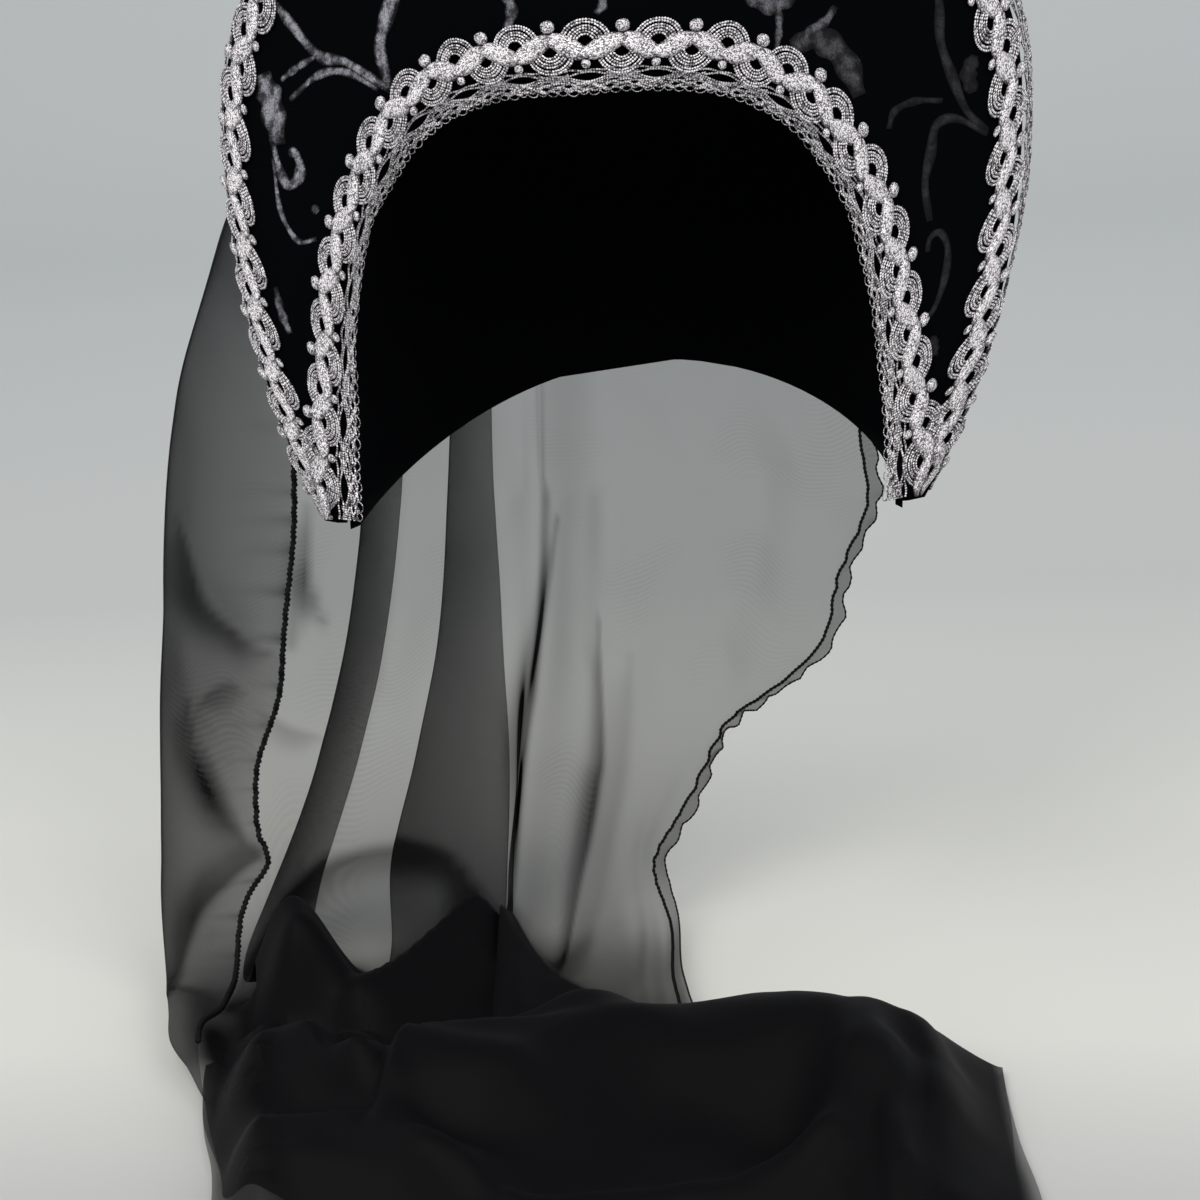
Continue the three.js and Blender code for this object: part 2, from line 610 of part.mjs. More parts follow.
function veilGrid() {
  const lines = COLUMNS.map(threadLine);
  const places = [0];
  ROWS_BETWEEN.forEach((count, i) => {
    for (let k = 1; k <= count; k++) places.push(i + k / count);
  });
  return places.map((place) => lines.map((line) => {
    const p = clearOfCap(line.getPoint(place / ROWS_BETWEEN.length));
    p.z += heaped(p.x, p.y) * smooth(place - FOOT_STATION);
    return p;
  }));
}

function thicken(grid, thickness) {
  const rows = grid.length;
  const columns = grid[0].length;
  const front = [];
  const back = [];
  for (let r = 0; r < rows; r++) {
    front.push([]);
    back.push([]);
    for (let c = 0; c < columns; c++) {
      const down = grid[Math.min(r + 1, rows - 1)][c].clone().sub(grid[Math.max(r - 1, 0)][c]);
      const over = grid[r][Math.min(c + 1, columns - 1)].clone().sub(grid[r][Math.max(c - 1, 0)]);
      const normal = new THREE.Vector3().crossVectors(down, over).normalize();
      front[r].push(grid[r][c].clone().addScaledVector(normal, thickness / 2));
      back[r].push(grid[r][c].clone().addScaledVector(normal, -thickness / 2));
    }
  }
  return wall(front, back);
}

piece('veil', thicken(veilGrid(), VEIL_THICKNESS), ORGANZA, 0.7, 0);

export default group;
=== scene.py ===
import math

import bmesh
import bpy
import numpy as np
from mathutils import Matrix, Vector


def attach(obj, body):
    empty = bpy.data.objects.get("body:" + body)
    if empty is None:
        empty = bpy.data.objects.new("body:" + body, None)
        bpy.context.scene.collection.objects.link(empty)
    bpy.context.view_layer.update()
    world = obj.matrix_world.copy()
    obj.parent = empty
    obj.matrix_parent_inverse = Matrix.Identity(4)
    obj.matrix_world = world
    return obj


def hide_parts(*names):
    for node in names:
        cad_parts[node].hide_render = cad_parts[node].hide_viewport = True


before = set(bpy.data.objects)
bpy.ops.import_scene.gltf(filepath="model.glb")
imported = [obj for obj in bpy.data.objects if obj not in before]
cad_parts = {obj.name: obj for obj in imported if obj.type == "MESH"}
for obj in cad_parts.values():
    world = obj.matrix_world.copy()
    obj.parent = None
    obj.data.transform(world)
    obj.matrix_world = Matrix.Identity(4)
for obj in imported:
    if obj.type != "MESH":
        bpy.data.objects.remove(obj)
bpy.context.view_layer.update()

# Camera
# A lens of about 82 mm stands 0.8 m away, a little to the hood's right and above it, and looks
# down on the face opening. It leans by 4.4 degrees, because the hood sits a little askew.
SENSOR, FOCAL, SHIFT_UP, NEAREST = 36, 81.75, 0.003, 0.05
HEADING, PITCH_DOWN, ASKEW = 7.954, 17.7, 4.431
STANDS_AT = (0.1010, -0.7905, 0.1560)
lens = bpy.data.cameras.new("camera")
lens.sensor_width = SENSOR
lens.lens = FOCAL
lens.shift_y = SHIFT_UP
lens.clip_start = NEAREST
camera = bpy.data.objects.new("camera", lens)
bpy.context.collection.objects.link(camera)
heading, pitch, lean = (math.radians(a) for a in (HEADING, PITCH_DOWN, ASKEW))
ahead = Vector((-math.sin(heading) * math.cos(pitch), math.cos(heading) * math.cos(pitch), -math.sin(pitch)))
level = Vector((math.cos(heading), math.sin(heading), 0))
above = level.cross(ahead)
side = level * math.cos(lean) - above * math.sin(lean)
top = level * math.sin(lean) + above * math.cos(lean)
turn = Matrix((side, top, -ahead)).transposed().to_4x4()
camera.matrix_world = Matrix.Translation(STANDS_AT) @ turn
bpy.context.scene.camera = camera


# Crescent
# A stiffened band of black velvet that stands round the face. It is drawn flat, in mm across and
# up from the tips, then leant back at the top and swept back round the head.
MM = 0.001
HALF_WIDTH, HEIGHT, SQUARENESS = 85.2, 137.6, 2.98      # the face opening
OUTER_WIDE, OUTER_AT, OUTER_RISE, OUTER_DROP = 123.8, 118.9, 102.4, 173.0
TIP_Y, TIP_Z, LEAN, SWEEP, SWEEP_ROUND = -9.2, -67.3, math.radians(17.3), 0.733, 40.0
THICK = 4.4


def by_length(xs, vs):
    """A curve from the top centre to the right tip, read by its own length from -1 to 1."""
    run = np.concatenate([[0], np.cumsum(np.hypot(np.diff(xs), np.diff(vs)))])
    run /= run[-1]
    return lambda f: (np.sign(f) * np.interp(np.abs(f), run, xs), np.interp(np.abs(f), run, vs))


quarter = np.linspace(0, np.pi / 2, 500)
opening = by_length(HALF_WIDTH * np.sin(quarter) ** (2 / SQUARENESS),
                    HEIGHT * np.maximum(np.cos(quarter), 0) ** (2 / SQUARENESS))
falling = np.linspace(0, OUTER_AT, 300)[1:]
outer = by_length(
    np.concatenate([OUTER_WIDE * np.sin(quarter), OUTER_WIDE * np.sqrt(1 - (falling / OUTER_DROP) ** 2)]),
    np.concatenate([OUTER_AT + OUTER_RISE * np.cos(quarter), OUTER_AT - falling]))


def bend(x):
    return SWEEP * (np.hypot(x, SWEEP_ROUND) - math.hypot(84, SWEEP_ROUND))


def stand(x, v):
    """A place on the flat drawing, stood up, in mm."""
    x, v = np.broadcast_arrays(np.asarray(x, float), np.asarray(v, float))
    return np.stack([x, TIP_Y + v * math.sin(LEAN) + bend(x), TIP_Z + v * math.cos(LEAN)], -1)


def stand_normal(x, v):
    """The crescent's normal there, towards the front."""
    x, v = np.broadcast_arrays(np.asarray(x, float), np.asarray(v, float))
    slope = SWEEP * x / np.hypot(x, SWEEP_ROUND)
    n = np.stack([slope * math.cos(LEAN), -np.full_like(slope, math.cos(LEAN)),
                  np.full_like(slope, math.sin(LEAN))], -1)
    return n / np.linalg.norm(n, axis=-1, keepdims=True)


def on_flat(f, share):
    """f along the crescent from tip to tip, share of its width from the opening outwards."""
    a, b = opening(f), outer(f)
    return a[0] + (b[0] - a[0]) * share, a[1] + (b[1] - a[1]) * share


def on_crescent(f, share, height=0.0):
    x, v = on_flat(f, share)
    return stand(x, v) + stand_normal(x, v) * np.asarray(height)[..., None]


def crescent_width(f):
    a, b = opening(f), outer(f)
    return np.hypot(b[0] - a[0], b[1] - a[1])


def grid(columns, rows):
    """A bmesh grid of columns by rows faces whose corners run from 0 to 1, and those corners."""
    bm = bmesh.new()
    bmesh.ops.create_grid(bm, x_segments=columns, y_segments=rows, size=0.5)
    bmesh.ops.translate(bm, verts=bm.verts, vec=(0.5, 0.5, 0))
    return bm, np.array([v.co[:2] for v in bm.verts])


def place(bm, points):
    """Moves every corner of a bmesh to its point, given in mm."""
    for v, p in zip(bm.verts, np.asarray(points) * MM):
        v.co = p


def close_up(bm, reach=1e-6):
    """Joins corners that lie on one another and fills what is left open."""
    bmesh.ops.remove_doubles(bm, verts=bm.verts, dist=reach)
    bmesh.ops.holes_fill(bm, edges=[e for e in bm.edges if e.is_boundary], sides=0)


def finish_mesh(bm, name, material):
    bmesh.ops.recalc_face_normals(bm, faces=bm.faces)
    mesh = bpy.data.meshes.new(name)
    bm.to_mesh(mesh)
    bm.free()
    obj = bpy.data.objects.new(name, mesh)
    bpy.context.collection.objects.link(obj)
    mesh.materials.append(material)
    mesh.shade_smooth()
    return obj


def put_attribute(obj, name, values, kind="FLOAT"):
    layer = obj.data.attributes.get(name) or obj.data.attributes.new(name, kind, "POINT")
    key = "value" if kind == "FLOAT" else "vector"
    layer.data.foreach_set(key, np.asarray(values, dtype=np.float32).ravel())


def linear(code):
    """An sRGB colour such as 1A2B3C as the linear colour that a shader takes."""
    parts = [int(code[i:i + 2], 16) / 255 for i in (0, 2, 4)]
    return tuple(c / 12.92 if c <= 0.04045 else ((c + 0.055) / 1.055) ** 2.4 for c in parts) + (1,)


def feed(n, inputs):
    """Sets a node's inputs by name, where _ stands for a space."""
    for key, value in inputs.items():
        n.inputs[key.replace("_", " ")].default_value = value


def new_material(name, **inputs):
    material = bpy.data.materials.new(name)
    material.use_nodes = True
    shader = material.node_tree.nodes["Principled BSDF"]
    feed(shader, inputs)
    return material, shader, material.node_tree


# a colour Mix node has two inputs called A, two called B and two results, so they are numbered
MIX_A, MIX_B, MIX_RESULT = 6, 7, 2


def node(tree, kind, settings=None, links=None, **inputs):
    """Adds a node: its settings, its inputs by name, and links as {input: socket}."""
    n = tree.nodes.new("ShaderNode" + kind)
    for key, value in (settings or {}).items():
        setattr(n, key, value)
    feed(n, inputs)
    for key, socket in (links or {}).items():
        tree.links.new(socket, n.inputs[key])
    return n


# the velvet's pile: short dark fibres that lean in drifts
velvet, shader, tree = new_material(
    "black velvet", Base_Color=linear("040507"), Roughness=0.95, Specular_IOR_Level=0.02,
    Sheen_Weight=0.012, Sheen_Roughness=0.35, Sheen_Tint=linear("8E8E9C"))
coords = node(tree, "TexCoord")
pile = node(tree, "TexNoise", links={"Vector": coords.outputs["Object"]},
            Scale=2600, Detail=2, Roughness=0.7)
bump = node(tree, "Bump", links={"Height": pile.outputs["Fac"]}, Strength=0.5, Distance=0.0003)
tree.links.new(bump.outputs["Normal"], shader.inputs["Normal"])

# the closed section across the band: share of its width and height above its middle
SECTION = np.array([
    (0, -0.45), (0, 0.45), (0.03, 1), (0.2, 1), (0.4, 1), (0.6, 1), (0.8, 1), (0.97, 1),
    (1, 0.45), (1, -0.45), (0.97, -1), (0.8, -1), (0.6, -1), (0.4, -1), (0.2, -1), (0.03, -1), (0, -0.45),
])
bm, spot = grid(150, len(SECTION) - 1)
ring = spot[:, 1] * (len(SECTION) - 1)
steps = np.arange(len(SECTION))
place(bm, on_crescent(spot[:, 0] * 2 - 1, np.interp(ring, steps, SECTION[:, 0]),
                      np.interp(ring, steps, SECTION[:, 1]) * THICK / 2))
close_up(bm)
crescent = finish_mesh(bm, "velvet_crescent", velvet)
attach(crescent, "root")
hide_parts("crescent")

# Scroll figure of the velvet
# Satin-grey stems, leaves and curls that show between the pile, with painted light: they are painted brighter
# on the left where they face the light. Each row is one stroke: its points across and up, its widest mm, and
# its tone, which is painted light as well as how much grey shows.
STROKES = [
    ([(-103, 160), (-97, 153), (-86, 142), (-76, 140), (-61, 132)], 3.0, 0.75),
    ([(-38, 182), (-46, 172), (-57, 162), (-62, 152), (-64, 144), (-61, 132)], 4.0, 0.8),
    ([(-86, 142), (-94, 138), (-100, 134)], 2.0, 0.6),
    ([(-65, 132), (-76, 137), (-86, 136), (-97, 128)], 2.2, 0.6),
    ([(-107, 136), (-104, 127), (-102, 114)], 7.5, 0.75),
    ([(-104, 115), (-102, 107), (-99, 102), (-95, 104), (-94, 108), (-96, 112), (-98, 111)], 3.2, 0.8),
    ([(-104, 110), (-102, 94), (-96, 85), (-89, 86)], 1.7, 0.6),
    ([(-90, 96), (-88, 94)], 2.5, 0.25),
    ([(-105, 70), (-103, 62), (-100, 56)], 2.6, 0.45),
    ([(-25, 163), (-21, 156), (-23, 149)], 3.0, 0.5),
    ([(4, 163), (5, 156), (3, 153)], 2.2, 0.4),
    ([(44, 155), (51, 151), (58, 153)], 5.0, 0.32),
    ([(53, 152), (53, 144), (52, 137)], 1.8, 0.35),
    ([(59, 138), (62, 142), (66, 144), (69, 148)], 2.5, 0.25),
    ([(56, 138), (64, 139), (71, 132), (75, 121)], 6.0, 0.14),
    ([(97, 156), (99, 145), (99, 134), (102, 123), (106, 112), (112, 105)], 2.4, 0.05),
    ([(83, 110), (85, 115), (91, 117), (99, 116)], 1.9, 0.04),
    ([(109, 128), (107, 123), (108, 117)], 4.0, 0.04),
    ([(112, 104), (103, 110), (97, 109), (95, 101), (93, 92), (94, 81)], 2.4, 0.05),
    ([(93, 72), (94, 76), (97, 77), (99, 72), (98, 64), (95, 56), (92, 52)], 1.8, 0.045),
    ([(94, 47), (94, 41)], 2.4, 0.04),
    # the upper part, in the same manner
    ([(-38, 182), (-20, 190), (-2, 186), (6, 172), (4, 163)], 3.6, 0.5),
    ([(-20, 190), (-14, 200), (-2, 203), (8, 198), (6, 190), (0, 191)], 3.0, 0.5),
    ([(6, 172), (20, 178), (34, 172), (44, 155)], 3.2, 0.45),
    ([(34, 172), (46, 184), (62, 182), (68, 170), (60, 164), (55, 170)], 3.0, 0.4),
    ([(62, 182), (80, 178), (97, 156)], 3.2, 0.3),
    ([(-103, 160), (-88, 176), (-70, 184), (-60, 178), (-64, 170), (-70, 173)], 3.0, 0.6),
    ([(-70, 184), (-54, 196), (-38, 198)], 5.0, 0.55),
    ([(40, 200), (50, 196), (58, 198)], 5.0, 0.4),
]


def between(a, b, c, d, k):
    """The smooth line from b to c at shares k, with a and d next to them."""
    return b + 0.5 * k * (c - a + k * (2 * a - 5 * b + 4 * c - d + k * (3 * (b - c) + d - a)))


def through(points, count):
    """A smooth line through the points, at even steps."""
    p = np.asarray(points, float)
    p = np.concatenate([[2 * p[0] - p[1]], p, [2 * p[-1] - p[-2]]])
    t = np.linspace(0, len(p) - 3 - 1e-9, count)
    i = t.astype(int)
    return between(p[i], p[i + 1], p[i + 2], p[i + 3], (t - i)[:, None])


satin, shader, tree = new_material("satin scroll in the velvet", Roughness=0.55, Specular_IOR_Level=0.1)
coords = node(tree, "TexCoord")
edge = node(tree, "Attribute", {"attribute_name": "soft"})
painted_light_tone = node(tree, "Attribute", {"attribute_name": "painted_light_tone"})
fibres = node(tree, "TexNoise", links={"Vector": coords.outputs["Object"]},
              Scale=1900, Detail=5, Roughness=0.8)
drift = node(tree, "TexNoise", links={"Vector": coords.outputs["Object"]},
             Scale=260, Detail=3, Roughness=0.6)
ragged = node(tree, "Math", {"operation": "ADD"},
              {0: fibres.outputs["Fac"], 1: drift.outputs["Fac"]})
cut = node(tree, "Math", {"operation": "ADD"}, {0: edge.outputs["Fac"], 1: ragged.outputs["Value"]})
show = node(tree, "MapRange", {"interpolation_type": "SMOOTHSTEP"}, {"Value": cut.outputs["Value"]},
            From_Min=1.0, From_Max=1.95)
hairs = node(tree, "MapRange", None, {"Value": fibres.outputs["Fac"]}, From_Min=0.36, From_Max=0.66,
             To_Min=0.25, To_Max=1.35)
worn = node(tree, "MapRange", None, {"Value": drift.outputs["Fac"]}, From_Min=0.38, From_Max=0.6,
            To_Min=0.2, To_Max=1.3)
brushed = node(tree, "Math", {"operation": "MULTIPLY"},
               {0: worn.outputs["Result"], 1: hairs.outputs["Result"]})
lit = node(tree, "Math", {"operation": "MULTIPLY"},
           {0: show.outputs["Result"], 1: brushed.outputs["Value"]})
# painted light: the stroke's tone sets how much satin grey shows, painted brighter on the left where the
# strokes face the light and dimmer on the right
amount = node(tree, "Math", {"operation": "MULTIPLY", "use_clamp": True},
              {0: lit.outputs["Value"], 1: painted_light_tone.outputs["Fac"]})
mix = node(tree, "Mix", {"data_type": "RGBA"}, {"Factor": amount.outputs["Value"]})
mix.inputs[MIX_A].default_value = linear("050507")
mix.inputs[MIX_B].default_value = linear("A6A4AE")
tree.links.new(mix.outputs[MIX_RESULT], shader.inputs["Base Color"])

SPREAD, SIDE_BY_SIDE, PROUD, CROWN_PROUD = 1.25, 4, 0.12, 0.12
bm = bmesh.new()
soft, painted_light_tones = [], []
for line, widest, strength in STROKES:
    count = max(8, int(6 * len(line)))
    path = through(line, count)
    along = np.gradient(path, axis=0)
    along /= np.linalg.norm(along, axis=1, keepdims=True)
    across = np.stack([-along[:, 1], along[:, 0]], -1)
    t = np.linspace(0, 1, count)
    width = widest * (0.35 + 0.65 * np.sin(np.pi * np.clip(t * 0.9 + 0.05, 0, 1)) ** 0.7)
    width *= 1 + 0.16 * np.sin(t * 19 + widest)
    strip, row = grid(count - 1, SIDE_BY_SIDE)
    i = np.rint(row[:, 0] * (count - 1)).astype(int)
    s = row[:, 1] * 2 - 1
    flat = path[i] + across[i] * (s * width[i] / 2 * SPREAD)[:, None]
    lift = THICK / 2 + PROUD + CROWN_PROUD * (1 - s ** 2)
    place(strip, stand(flat[:, 0], flat[:, 1]) + stand_normal(flat[:, 0], flat[:, 1]) * lift[:, None])
    soft += list((1 - np.abs(s) ** 1.5) * np.clip(np.minimum(t[i], 1 - t[i]) * 9, 0, 1))
    painted_light_tones += [strength] * len(s)
    piece = bpy.data.meshes.new("stroke")
    strip.to_mesh(piece)
    strip.free()
    bm.from_mesh(piece)
    bpy.data.meshes.remove(piece)
scroll = finish_mesh(bm, "velvet_scroll_figure", satin)
put_attribute(scroll, "soft", soft)
put_attribute(scroll, "painted_light_tone", painted_light_tones)
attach(scroll, "root")

# Crown cap
# A soft cap of the same velvet behind the crescent, sewn to the back of its opening. Its front
# edge shows inside the opening and ends in a small rounded tab under each tip.
CAP_BACK, CAP_BACK_Z, CAP_FULL, CAP_IN, CAP_OUT = 104.0, -46.0, 2.7, 2.2, 4.4
CAP_TAB, TAB_IN, TAB_ROUND = 3.0, 6.0, 2.0
# places along the crescent where each tab starts and where its corner turns
TAB_FROM, TAB_CORNER = 0.955, 0.982
SEAM_BEHIND, LINING = 0.35, 2.0
# the lower edge of the cap rises towards the nape from here on
NAPE_FROM, NAPE_RISE = 0.75, 0.9


def ease(t):
    """From 0 to 1 as t goes from 0 to 1, slowly at both ends."""
    t = np.clip(t, 0, 1)
    return t * t * (3 - 2 * t)


def cap_point(f, k, seam, inset):
    start = on_crescent(f, seam / crescent_width(f), np.full_like(f, -THICK / 2 - SEAM_BEHIND))
    tab = ease((np.abs(f) - TAB_FROM) / (1 - TAB_FROM))
    start[:, 2] -= CAP_TAB * tab
    corner = np.clip((np.abs(f) - TAB_CORNER) / (1 - TAB_CORNER), 0, 1)
    corner = TAB_ROUND * (1 - np.sqrt(1 - corner ** 2))
    start[:, 0] -= np.sign(f) * (TAB_IN * tab - corner)
    depth = np.sin(k * np.pi / 2)
    shrink = np.maximum(1 - depth ** CAP_FULL, 0) ** (1 / CAP_FULL)
    low = 1 + NAPE_RISE * ease((np.abs(f) - NAPE_FROM) / (1 - NAPE_FROM))
    return np.stack([start[:, 0] * shrink, start[:, 1] + (CAP_BACK - inset - start[:, 1]) * depth,
                     CAP_BACK_Z + (start[:, 2] - CAP_BACK_Z) * shrink ** low], -1)


bm, spot = grid(110, 60)
ring = spot[:, 1] * 2
outside = spot[:, 1] <= 0.5
f = spot[:, 0] * 2 - 1
layer_out = cap_point(f, np.clip(1 - ring, 0, 1), CAP_OUT, 0.0)
layer_in = cap_point(f, np.clip(ring - 1, 0, 1), CAP_IN, LINING)
# the two layers meet in a rounded fold along the front edge
place(bm, np.where(outside[:, None], layer_out, layer_in))
close_up(bm)
cap = finish_mesh(bm, "velvet_cap", velvet)
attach(cap, "root")
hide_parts("crown_cap")

# Front braids
# Metallic gimp 13.4 mm wide: a woven ribbon zigzags along it in overlapping leaves, a coiled
# bobble sits outside each turn, and a fan of beaded arcs fills each notch. Sewn on both edges.
PITCH, BRAID_WIDE = 20.0, 13.4
LEAF, REACH = 5.4, 2.8
FAN_ARCS = (
    # radius, bead radius, height
    (7.0, 0.44, 0.7), (6.2, 0.44, 0.85), (5.1, 0.42, 1.0),
    (4.3, 0.46, 1.1), (3.4, 0.42, 1.25), (2.6, 0.42, 1.4),
)
FAN_OFF, FAN_BOW = 0.75, 0.2
BOBBLE_AT, BOBBLE, BOBBLE_LIFT, BOBBLE_FLAT = 5.4, 1.7, 1.3, 0.66
# painted highlight on a bead's crown, its neck's share of its radius, and how fine each part's thread is
CROWN_HIGHLIGHT, BEAD_NECK, BOBBLE_FINE, LEAF_FINE = 2.4, 0.55, 1.8, 1.7
# how bright each corner of a motif is painted, painted highlight and painted shade included, and how many
# times finer than beads its thread is
glints, plies = [], []


def run_along(p, axis):
    """How far each point is along its line of points, from the first one."""
    gaps = np.diff(p, axis=axis, prepend=np.take(p, [0], axis=axis))
    return np.cumsum(np.linalg.norm(gaps, axis=-1), axis=axis)


def merge(bm, part, glint, fine=1.0):
    """Adds a part to the motif, and keeps how bright and how fine each of its corners is."""
    mesh = bpy.data.meshes.new("part")
    part.to_mesh(mesh)
    part.free()
    glints.append(np.broadcast_to(glint(len(mesh.vertices), mesh), len(mesh.vertices)).copy())
    plies.append(np.full(len(mesh.vertices), fine))
    bm.from_mesh(mesh)
    bpy.data.meshes.remove(mesh)


def stored(count, mesh):
    """The brightness that a part carries at its corners."""
    values = np.empty(count, dtype=np.float32)
    mesh.attributes["glint"].data.foreach_get("value", values)
    return values


def strand(bm, line, radii, bright, sides=4, flat=1.0, over_from=(0, 0, 1.0)):
    """A closed tube along a line, with its radius and brightness given at each point."""
    line = np.asarray(line, float)
    along = np.gradient(line, axis=0)
    along /= np.maximum(np.linalg.norm(along, axis=1, keepdims=True), 1e-9)
    over = np.cross(along, over_from)
    over /= np.maximum(np.linalg.norm(over, axis=1, keepdims=True), 1e-9)
    up = np.cross(over, along)
    part, row = grid(len(line) - 1, sides)
    layer = part.verts.layers.float.new("glint")
    i = np.rint(row[:, 0] * (len(line) - 1)).astype(int)
    a = (row[:, 1] * 2 + 1 / sides) * np.pi
    r = np.asarray(radii, float)[i]
    at = line[i] + over[i] * (r * np.cos(a))[:, None] + up[i] * (r * np.sin(a) * flat)[:, None]
    for v, p, b in zip(part.verts, at, np.asarray(bright, float)[i]):
        v.co = p
        v[layer] = b
    close_up(part, 1e-5)
    merge(bm, part, stored)


def beaded(bm, line, bead, pitch=0.8, sides=4, flat=0.9, dark=0.06, over_from=(0, 0, 1.0)):
    """A purl strand: it swells once for each bead, with a painted highlight on its crown and painted shade at
    its neck.
    """
    line = np.asarray(line, float)
    run = run_along(line, 0)
    beads = max(3, int(round(run[-1] / pitch)))
    t = np.linspace(0, run[-1], 2 * beads + 1)
    at = np.stack([np.interp(t, run, line[:, j]) for j in range(3)], -1)
    crown = np.arange(len(t)) % 2 == 1
    radii = np.where(crown, bead, bead * BEAD_NECK)
    strand(bm, at, radii, np.where(crown, CROWN_HIGHLIGHT, dark), sides, flat, over_from)


def fan(bm, middle, sign):
    """Beaded arcs round a middle on the ribbon's hollow side."""
    for radius, bead, height in FAN_ARCS:
        a = np.linspace(-0.12, np.pi + 0.12, 30)
        beaded(bm, np.stack([middle + radius * np.cos(a), sign * (FAN_OFF + radius * np.sin(a)),
                             height + FAN_BOW * np.sin(a)], -1), bead)


def bobble(bm, middle, across, size):
    """A coiled knob, a little uneven and flatter than a ball."""
    part = bmesh.new()
    bmesh.ops.create_icosphere(part, subdivisions=2, radius=size)
    for v in part.verts:
        v.co *= 1 + 0.07 * math.sin(9 * v.co.x + 2) * math.sin(8 * v.co.y) * math.sin(8 * v.co.z + 1)
        v.co.z *= BOBBLE_FLAT
    bmesh.ops.translate(part, verts=part.verts, vec=(middle, across, BOBBLE_LIFT))
    merge(bm, part, lambda count, mesh: 1.0, BOBBLE_FINE)


def leaf(bm, sign):
    """Half a pitch of the woven ribbon: a pointed leaf, domed and lapped over the next one."""
    part, row = grid(18, 6)
    t, s = row[:, 0] * 2 - 1, row[:, 1] * 2 - 1
    w = LEAF * (0.26 + 0.74 * np.cos(t * np.pi / 2) ** 0.75)
    x = PITCH * (0.25 if sign > 0 else 0.75) + t * PITCH * 0.3
    y = sign * (0.6 * t + 0.4 * np.sin(t * np.pi / 2)) * REACH + s * w / 2
    z = 1.5 + 0.9 * np.sqrt(np.maximum(0, 1 - s ** 2)) + 0.45 * t * sign * np.sign(x - PITCH / 2)
    # painted shade: darker along its rim and where it slips under the next leaf
    shade = 1.3 - 0.8 * np.clip((np.abs(s) - 0.72) / 0.28, 0, 1) - 1.0 * np.clip((t - 0.45) / 0.45, 0, 1)
    layer = part.verts.layers.float.new("glint")
    for v, p, b in zip(part.verts, np.stack([x - s * 1.1 * sign, y, z], -1), shade):
        v.co = p
        v[layer] = max(b, 0.1)
    bmesh.ops.solidify(part, geom=part.faces[:], thickness=0.5)
    merge(bm, part, stored, LEAF_FINE)


def gimp(name, dark, light, grains, luck_to):
    """Metallic thread: speckled plies, partly their own tone and partly painted glitter, each bead with a
    painted highlight on its crown and painted shade at its neck.

    Grains is how many speckles lie on a mm, and luck_to how bright the luckiest one is.
    """
    material, shader, tree = new_material(name, Metallic=0.35, Roughness=0.38)
    weave = node(tree, "Attribute", {"attribute_name": "weave"})
    glint = node(tree, "Attribute", {"attribute_name": "glint"})
    ply = node(tree, "TexVoronoi", {"feature": "F1"}, {"Vector": weave.outputs["Vector"]},
               Scale=grains, Randomness=0.9)
    chance = node(tree, "SeparateColor", links={"Color": ply.outputs["Color"]})
    grain = node(tree, "MapRange", None, {"Value": ply.outputs["Distance"]}, From_Min=0.25,
                 From_Max=0.7, To_Min=1.0, To_Max=0.1)
    luck = node(tree, "MapRange", None, {"Value": chance.outputs["Red"]}, To_Min=0.25,
                To_Max=luck_to)
    speck = node(tree, "Math", {"operation": "MULTIPLY"},
                 {0: grain.outputs["Result"], 1: luck.outputs["Result"]})
    # the specks are partly the plies' own tone and partly painted glitter; glint adds the painted highlight
    # and painted shade of beads and leaves
    shine = node(tree, "Math", {"operation": "MULTIPLY", "use_clamp": True},
                 {0: speck.outputs["Value"], 1: glint.outputs["Fac"]})
    mix = node(tree, "Mix", {"data_type": "RGBA"}, {"Factor": shine.outputs["Value"]})
    mix.inputs[MIX_A].default_value = linear(dark)
    mix.inputs[MIX_B].default_value = linear(light)
    tree.links.new(mix.outputs[MIX_RESULT], shader.inputs["Base Color"])
    bump = node(tree, "Bump", {"invert": True}, {"Height": ply.outputs["Distance"]}, Strength=0.8,
                Distance=0.0003)
    tree.links.new(bump.outputs["Normal"], shader.inputs["Normal"])
    return material


def keep_motif(motif, name):
    """The finished motif as a mesh, with the brightness of each corner."""
    mesh = bpy.data.meshes.new(name)
    motif.to_mesh(mesh)
    motif.free()
    kept = np.stack([np.concatenate(glints), np.concatenate(plies)])
    glints.clear()
    plies.clear()
    return mesh, kept


silver = gimp("silver gimp thread", "0B0A0E", "FFFAFF", 1.25, 2.3)
motif = bmesh.new()
for middle, sign in ((0, 1), (PITCH / 2, -1)):
    fan(motif, middle, sign)
    # the bobbles towards the velvet are the larger ones
    bobble(motif, PITCH / 2 - middle, sign * (BOBBLE_AT + 0.4 * sign), BOBBLE + 0.3 * sign)
    leaf(motif, sign)
front_motif, front_thread = keep_motif(motif, "front_motif")


# how far the repeats wander across, mm, and how much darker the braid gets towards the crescent's tips
WANDER, DARKER_FROM, DARKER_BY = 0.3, 0.82, 0.4


